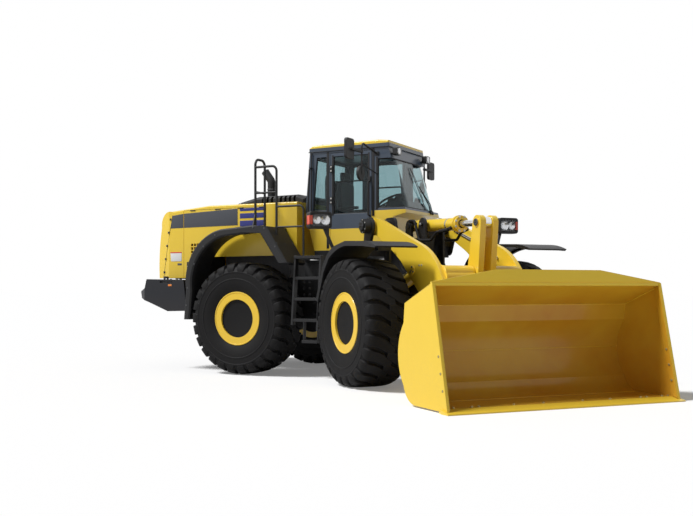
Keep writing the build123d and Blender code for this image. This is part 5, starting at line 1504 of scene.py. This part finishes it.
    def lever(self) -> None:
        """Caps and collars of the tilt lever and the bucket link."""
        piece = Piece("tilt_lever_fittings", FRONT, YELLOW, "tilt_lever")
        for pin in (self.lever_top, self.lever_foot):
            self.cap(piece, pin, 0.145, 0.047, 2)
        piece.dress(YELLOW).turned((self.lever_pivot[0], 0.132, self.lever_pivot[1]), (0, 1, 0),
                                   collar(0, 0.006, 0.100, 0.056), 40, True)
        piece.made(mirror=True)
        link = Piece("bucket_link_fittings", FRONT, YELLOW, "bucket_link")
        for pin in (self.lever_foot, self.link_head):
            link.turned((pin[0], 0.044, pin[1]), (0, 1, 0), collar(0, 0.0045, 0.070, 0.044), 36, True)
        link.made(mirror=True)

    def cylinders(self) -> None:
        """Fittings of the lift and tilt cylinders."""
        for word, side in SIDES.items():
            self.barrel(Cylinder(f"lift_fittings_{word}", "lift_barrels", self.lift_base, self.lift_head,
                                 side * self.lift_line, self.lift_length, 0.080, True))
        self.barrel(Cylinder("tilt_fittings", "tilt_barrel", self.tilt_base, self.lever_top, 0.0,
                             self.tilt_length, 0.098, False))

    def barrel(self, cylinder: Cylinder) -> None:
        """Gland bolts, collars and, on a piped one, its pipe and clamps.

        Args:
            cylinder: The cylinder that gets them.
        """
        base, head = cylinder.base, cylinder.head
        way = Vector((head[0] - base[0], 0, head[1] - base[1])).normalized()
        up = Vector((-way.z, 0, way.x))
        across = Vector((0, 1, 0))
        start = Vector((base[0], cylinder.line, base[1]))
        piece = Piece(cylinder.name, FRONT, STEEL, cylinder.body)
        face = start + way * (cylinder.length - 0.004)
        for number in range(self.gland_bolts):
            angle = math.radians(22.5 + 360 * number / self.gland_bolts)
            spoke = across * math.cos(angle) + up * math.sin(angle)
            piece.bolts([tuple(face + spoke * cylinder.gland)], tuple(way), 0.011)
        piece.dress(YELLOW).turned(tuple(start + way * 0.085), tuple(way),
                                   ((0, 0.070), (0.02, 0.088), (0.05, 0.088), (0.055, 0.084)), 40)
        if cylinder.piped:
            pipe = ((0.17, 0.091), (0.20, 0.116), (1.10, 0.116), (1.17, 0.084))
            piece.dress(STEEL).tube([tuple(start + way * along + up * proud) for along, proud in pipe], 0.010,
                                    10)
            piece.dress(BLACK)
            for along in (0.45, 0.85):
                piece.box(*self.around(start + way * along + up * 0.106, 0.018), 0.004)
        else:
            piece.dress(STEEL)
            for along in (0.235, 0.90):
                piece.turned(tuple(start + way * along), tuple(way), ((0, 0.0865), (0.03, 0.0865)), 40)
        piece.made()

    @staticmethod
    def around(middle: Vector, half: float) -> tuple[Point, Point]:
        """Corners of a small block round a point."""
        return tuple(middle - Vector((half,) * 3)), tuple(middle + Vector((half,) * 3))


@dataclass
class Bucket:
    """Bolts, weld lines and folds of the bucket."""

    half: float = 1.585
    sheet: float = 0.030
    edge_bolts: Sequence[float] = (0.27, 0.66, 1.11, 1.20, 1.43, 1.52)
    folds: Sequence[tuple[float, float]] = ((3.6605, 1.127), (3.5085, 0.590), (3.886, 0.0505))

    def build(self) -> None:
        """Builds the bucket's details."""
        inner = self.half - self.sheet
        beads = Piece("bucket_beads", FRONT, YELLOW, "bucket")
        for x, z in self.folds:
            beads.tube([(x, -inner, z), (x, inner, z)], 0.0035, 8)
        beads.made()
        flank = Piece("bucket_side_beads", FRONT, YELLOW, "bucket")
        flank.tube([(4.150, inner, 1.320), (3.668, inner, 1.133)], 0.006, 8)
        for x, z in ((3.55, 0.19), (3.57, 0.86)):
            for y in (0.519, 0.681):
                flank.tube([(x - 0.06, y, z), (x - 0.03, y, z + 0.04)], 0.008, 8)
        flank.tube([(4.172, self.half - 0.002, 1.362), (3.640, self.half - 0.002, 1.156)], 0.004, 8)
        flank.made(mirror=True)
        bolts = Piece("bucket_bolts", FRONT, WORN, "bucket")
        bolts.bolts([(4.412, y, 0.050) for y in self.edge_bolts], (0, 0, 1), 0.015, False)
        for x, z in ((4.367, 0.60), (4.409, 0.42), (4.451, 0.24)):
            bolts.turned((x, self.half - 0.001, z), (0, 1, 0), ((0, 0.016), (0.004, 0.015), (0.006, 0.009)),
                         16)
            bolts.turned((x, inner - 0.012, z), (0, -1, 0), ((0, 0.015), (0.009, 0.015), (0.012, 0.011)), 6)
        bolts.made(mirror=True)
        pins = Piece("bucket_pins", FRONT, CAST, "bucket")
        linkage = Linkage()
        linkage.cap(pins, linkage.bucket_pivot, 0.676, 0.056, 3)
        linkage.cap(pins, linkage.link_head, 0.093, 0.052, 2)
        pins.made(mirror=True)


@dataclass
class Chassis:
    """Bolts and pipes of the rear frame and both axles, and the boxes under the deck."""

    axle: float = 1.725
    height: float = 0.86

    def build(self) -> None:
        """Builds the underbody's fittings."""
        for name, half, x in (("rear", REAR, -self.axle), ("front", FRONT, self.axle)):
            piece = Piece(f"{name}_axle_bolts", half, CAST)
            piece.bolts(circle((x, 0.648, self.height), 0.205, 12), (0, -1, 0), 0.012)
            piece.bolts(circle((x, 0.60, self.height), 0.115, 10), (0, -1, 0), 0.010)
            piece.dress(HOSE).tube([(x + 0.10, 0.30, self.height + 0.20),
                                    (x + 0.12, 0.45, self.height + 0.21),
                                    (x + 0.12, 0.62, self.height + 0.235)], 0.010, 8)
            piece.made(mirror=True)
        frame_bolts = Piece("rear_frame_bolts", REAR, CAST)
        frame_bolts.bolts([(x, 0.440, z) for x in (-1.02, -1.12, -2.28, -2.38) for z in (1.22, 1.32, 1.42)],
                          (0, 1, 0), 0.016)
        frame_bolts.bolts([(x, 0.30, 1.451) for x in (-0.25, -0.50)], (0, 0, 1), 0.014)
        frame_bolts.dress(STEEL)
        for y in (0.10, 0.16):
            frame_bolts.tube([(-1.10, y, 1.43), (-0.95, y, 1.475), (-0.35, y, 1.475), (-0.20, y, 1.46)],
                             0.011, 8)
        frame_bolts.made(mirror=True)
        boxes = Piece("deck_boxes", REAR, BLACK)
        boxes.box((-0.80, 0.46, 1.46), (-0.36, 0.98, 1.745), 0.014)
        boxes.dress(MOULDED).box((-0.77, 0.98, 1.50), (-0.39, 0.986, 1.70), 0.004)
        boxes.made(mirror=True)


# ---------------------------------------------------------------- studio
@dataclass
class Studio:
    """Floor, light and camera."""

    camera_place: Point = (5.789, -11.827, 1.331)
    camera_way: tuple[float, float] = (-0.509, 0.861)
    camera_pitch: float = -0.61
    lens: float = 47.9
    shift: tuple[float, float] = (0.0706, 0.0569)
    key_strength: float = 3.5
    ambient: float = 0.15
    key_from: Point = (-0.56, -0.50, 0.98)
    key_spread: float = 14
    floor_size: float = 400.0
    floor_glow: float = 0.17

    def build(self) -> None:
        """Builds the studio."""
        self.camera()
        self.floor()
        self.light()

    def camera(self) -> None:
        """Camera level but for a slight dip, with a small shift for the framing."""
        data = bpy.data.cameras.new("Camera")
        data.lens = self.lens
        data.shift_x, data.shift_y = self.shift
        data.clip_end = 500
        camera = bpy.data.objects.new("Camera", data)
        camera.location = self.camera_place
        camera.rotation_euler = (
            math.radians(90 + self.camera_pitch), 0, math.atan2(-self.camera_way[0], self.camera_way[1]))
        bpy.context.scene.collection.objects.link(camera)
        bpy.context.scene.camera = camera

    def floor(self) -> None:
        """Plain pale floor that reads as white to the camera and keeps the shadow."""
        data = bpy.data.meshes.new("floor")
        half = self.floor_size / 2
        data.from_pydata([(x, y, 0) for x, y in oblong(-half, -half, half, half)], [], [(0, 1, 2, 3)])
        floor = bpy.data.objects.new("floor", data)
        bpy.context.scene.collection.objects.link(floor)
        graph = Graph("Studio floor")
        speckle = graph.noise(30.0)
        seen = graph.node("ShaderNodeLightPath", {}, {}, "Is Camera Ray")
        graph.finish(Base_Color=graph.mix(speckle, (0.79, 0.79, 0.795), (0.81, 0.81, 0.81)), Roughness=0.9,
                     Specular_IOR_Level=0.0, Emission_Color=graph.mix(seen, (0, 0, 0), (1, 1, 1)),
                     Emission_Strength=self.floor_glow)
        data.materials.append(graph.material)

    def light(self) -> None:
        """One broad key lamp and an even surround, white wherever the eye or a reflection meets it."""
        lamp = bpy.data.lights.new("Key", "SUN")
        lamp.energy = self.key_strength
        lamp.angle = math.radians(self.key_spread)
        key = bpy.data.objects.new("Key", lamp)
        key.rotation_euler = Vector(self.key_from).to_track_quat("Z", "Y").to_euler()
        bpy.context.scene.collection.objects.link(key)
        world = bpy.data.worlds.new("Surround")
        bpy.context.scene.world = world
        world.use_nodes = True
        tree = world.node_tree
        path = tree.nodes.new("ShaderNodeLightPath")
        total = None
        for name in ("Is Camera Ray", "Is Glossy Ray", "Is Transmission Ray"):
            if total is None:
                total = path.outputs[name]
                continue
            joined = tree.nodes.new("ShaderNodeMath")
            joined.operation = "MAXIMUM"
            tree.links.new(total, joined.inputs[0])
            tree.links.new(path.outputs[name], joined.inputs[1])
            total = joined.outputs[0]
        level = tree.nodes.new("ShaderNodeMapRange")
        level.inputs["To Min"].default_value = self.ambient
        tree.links.new(total, level.inputs["Value"])
        background = tree.nodes["Background"]
        background.inputs["Color"].default_value = (1, 1, 1, 1)
        tree.links.new(level.outputs[0], background.inputs["Strength"])
        bpy.context.scene.view_settings.view_transform = "Standard"


def main() -> None:
    """Builds the studio and every sub-assembly."""
    logging.basicConfig(level=logging.INFO, format="%(name)s: %(message)s", stream=sys.stdout)
    for part in (Studio, CadFinishes, Wheels, Hood, Tail, Fenders, Ladder, Cab, Seat, Controls, FrontLamps,
                 Linkage, Bucket, Chassis):
        part().build()


if __name__ == "__main__":
    main()
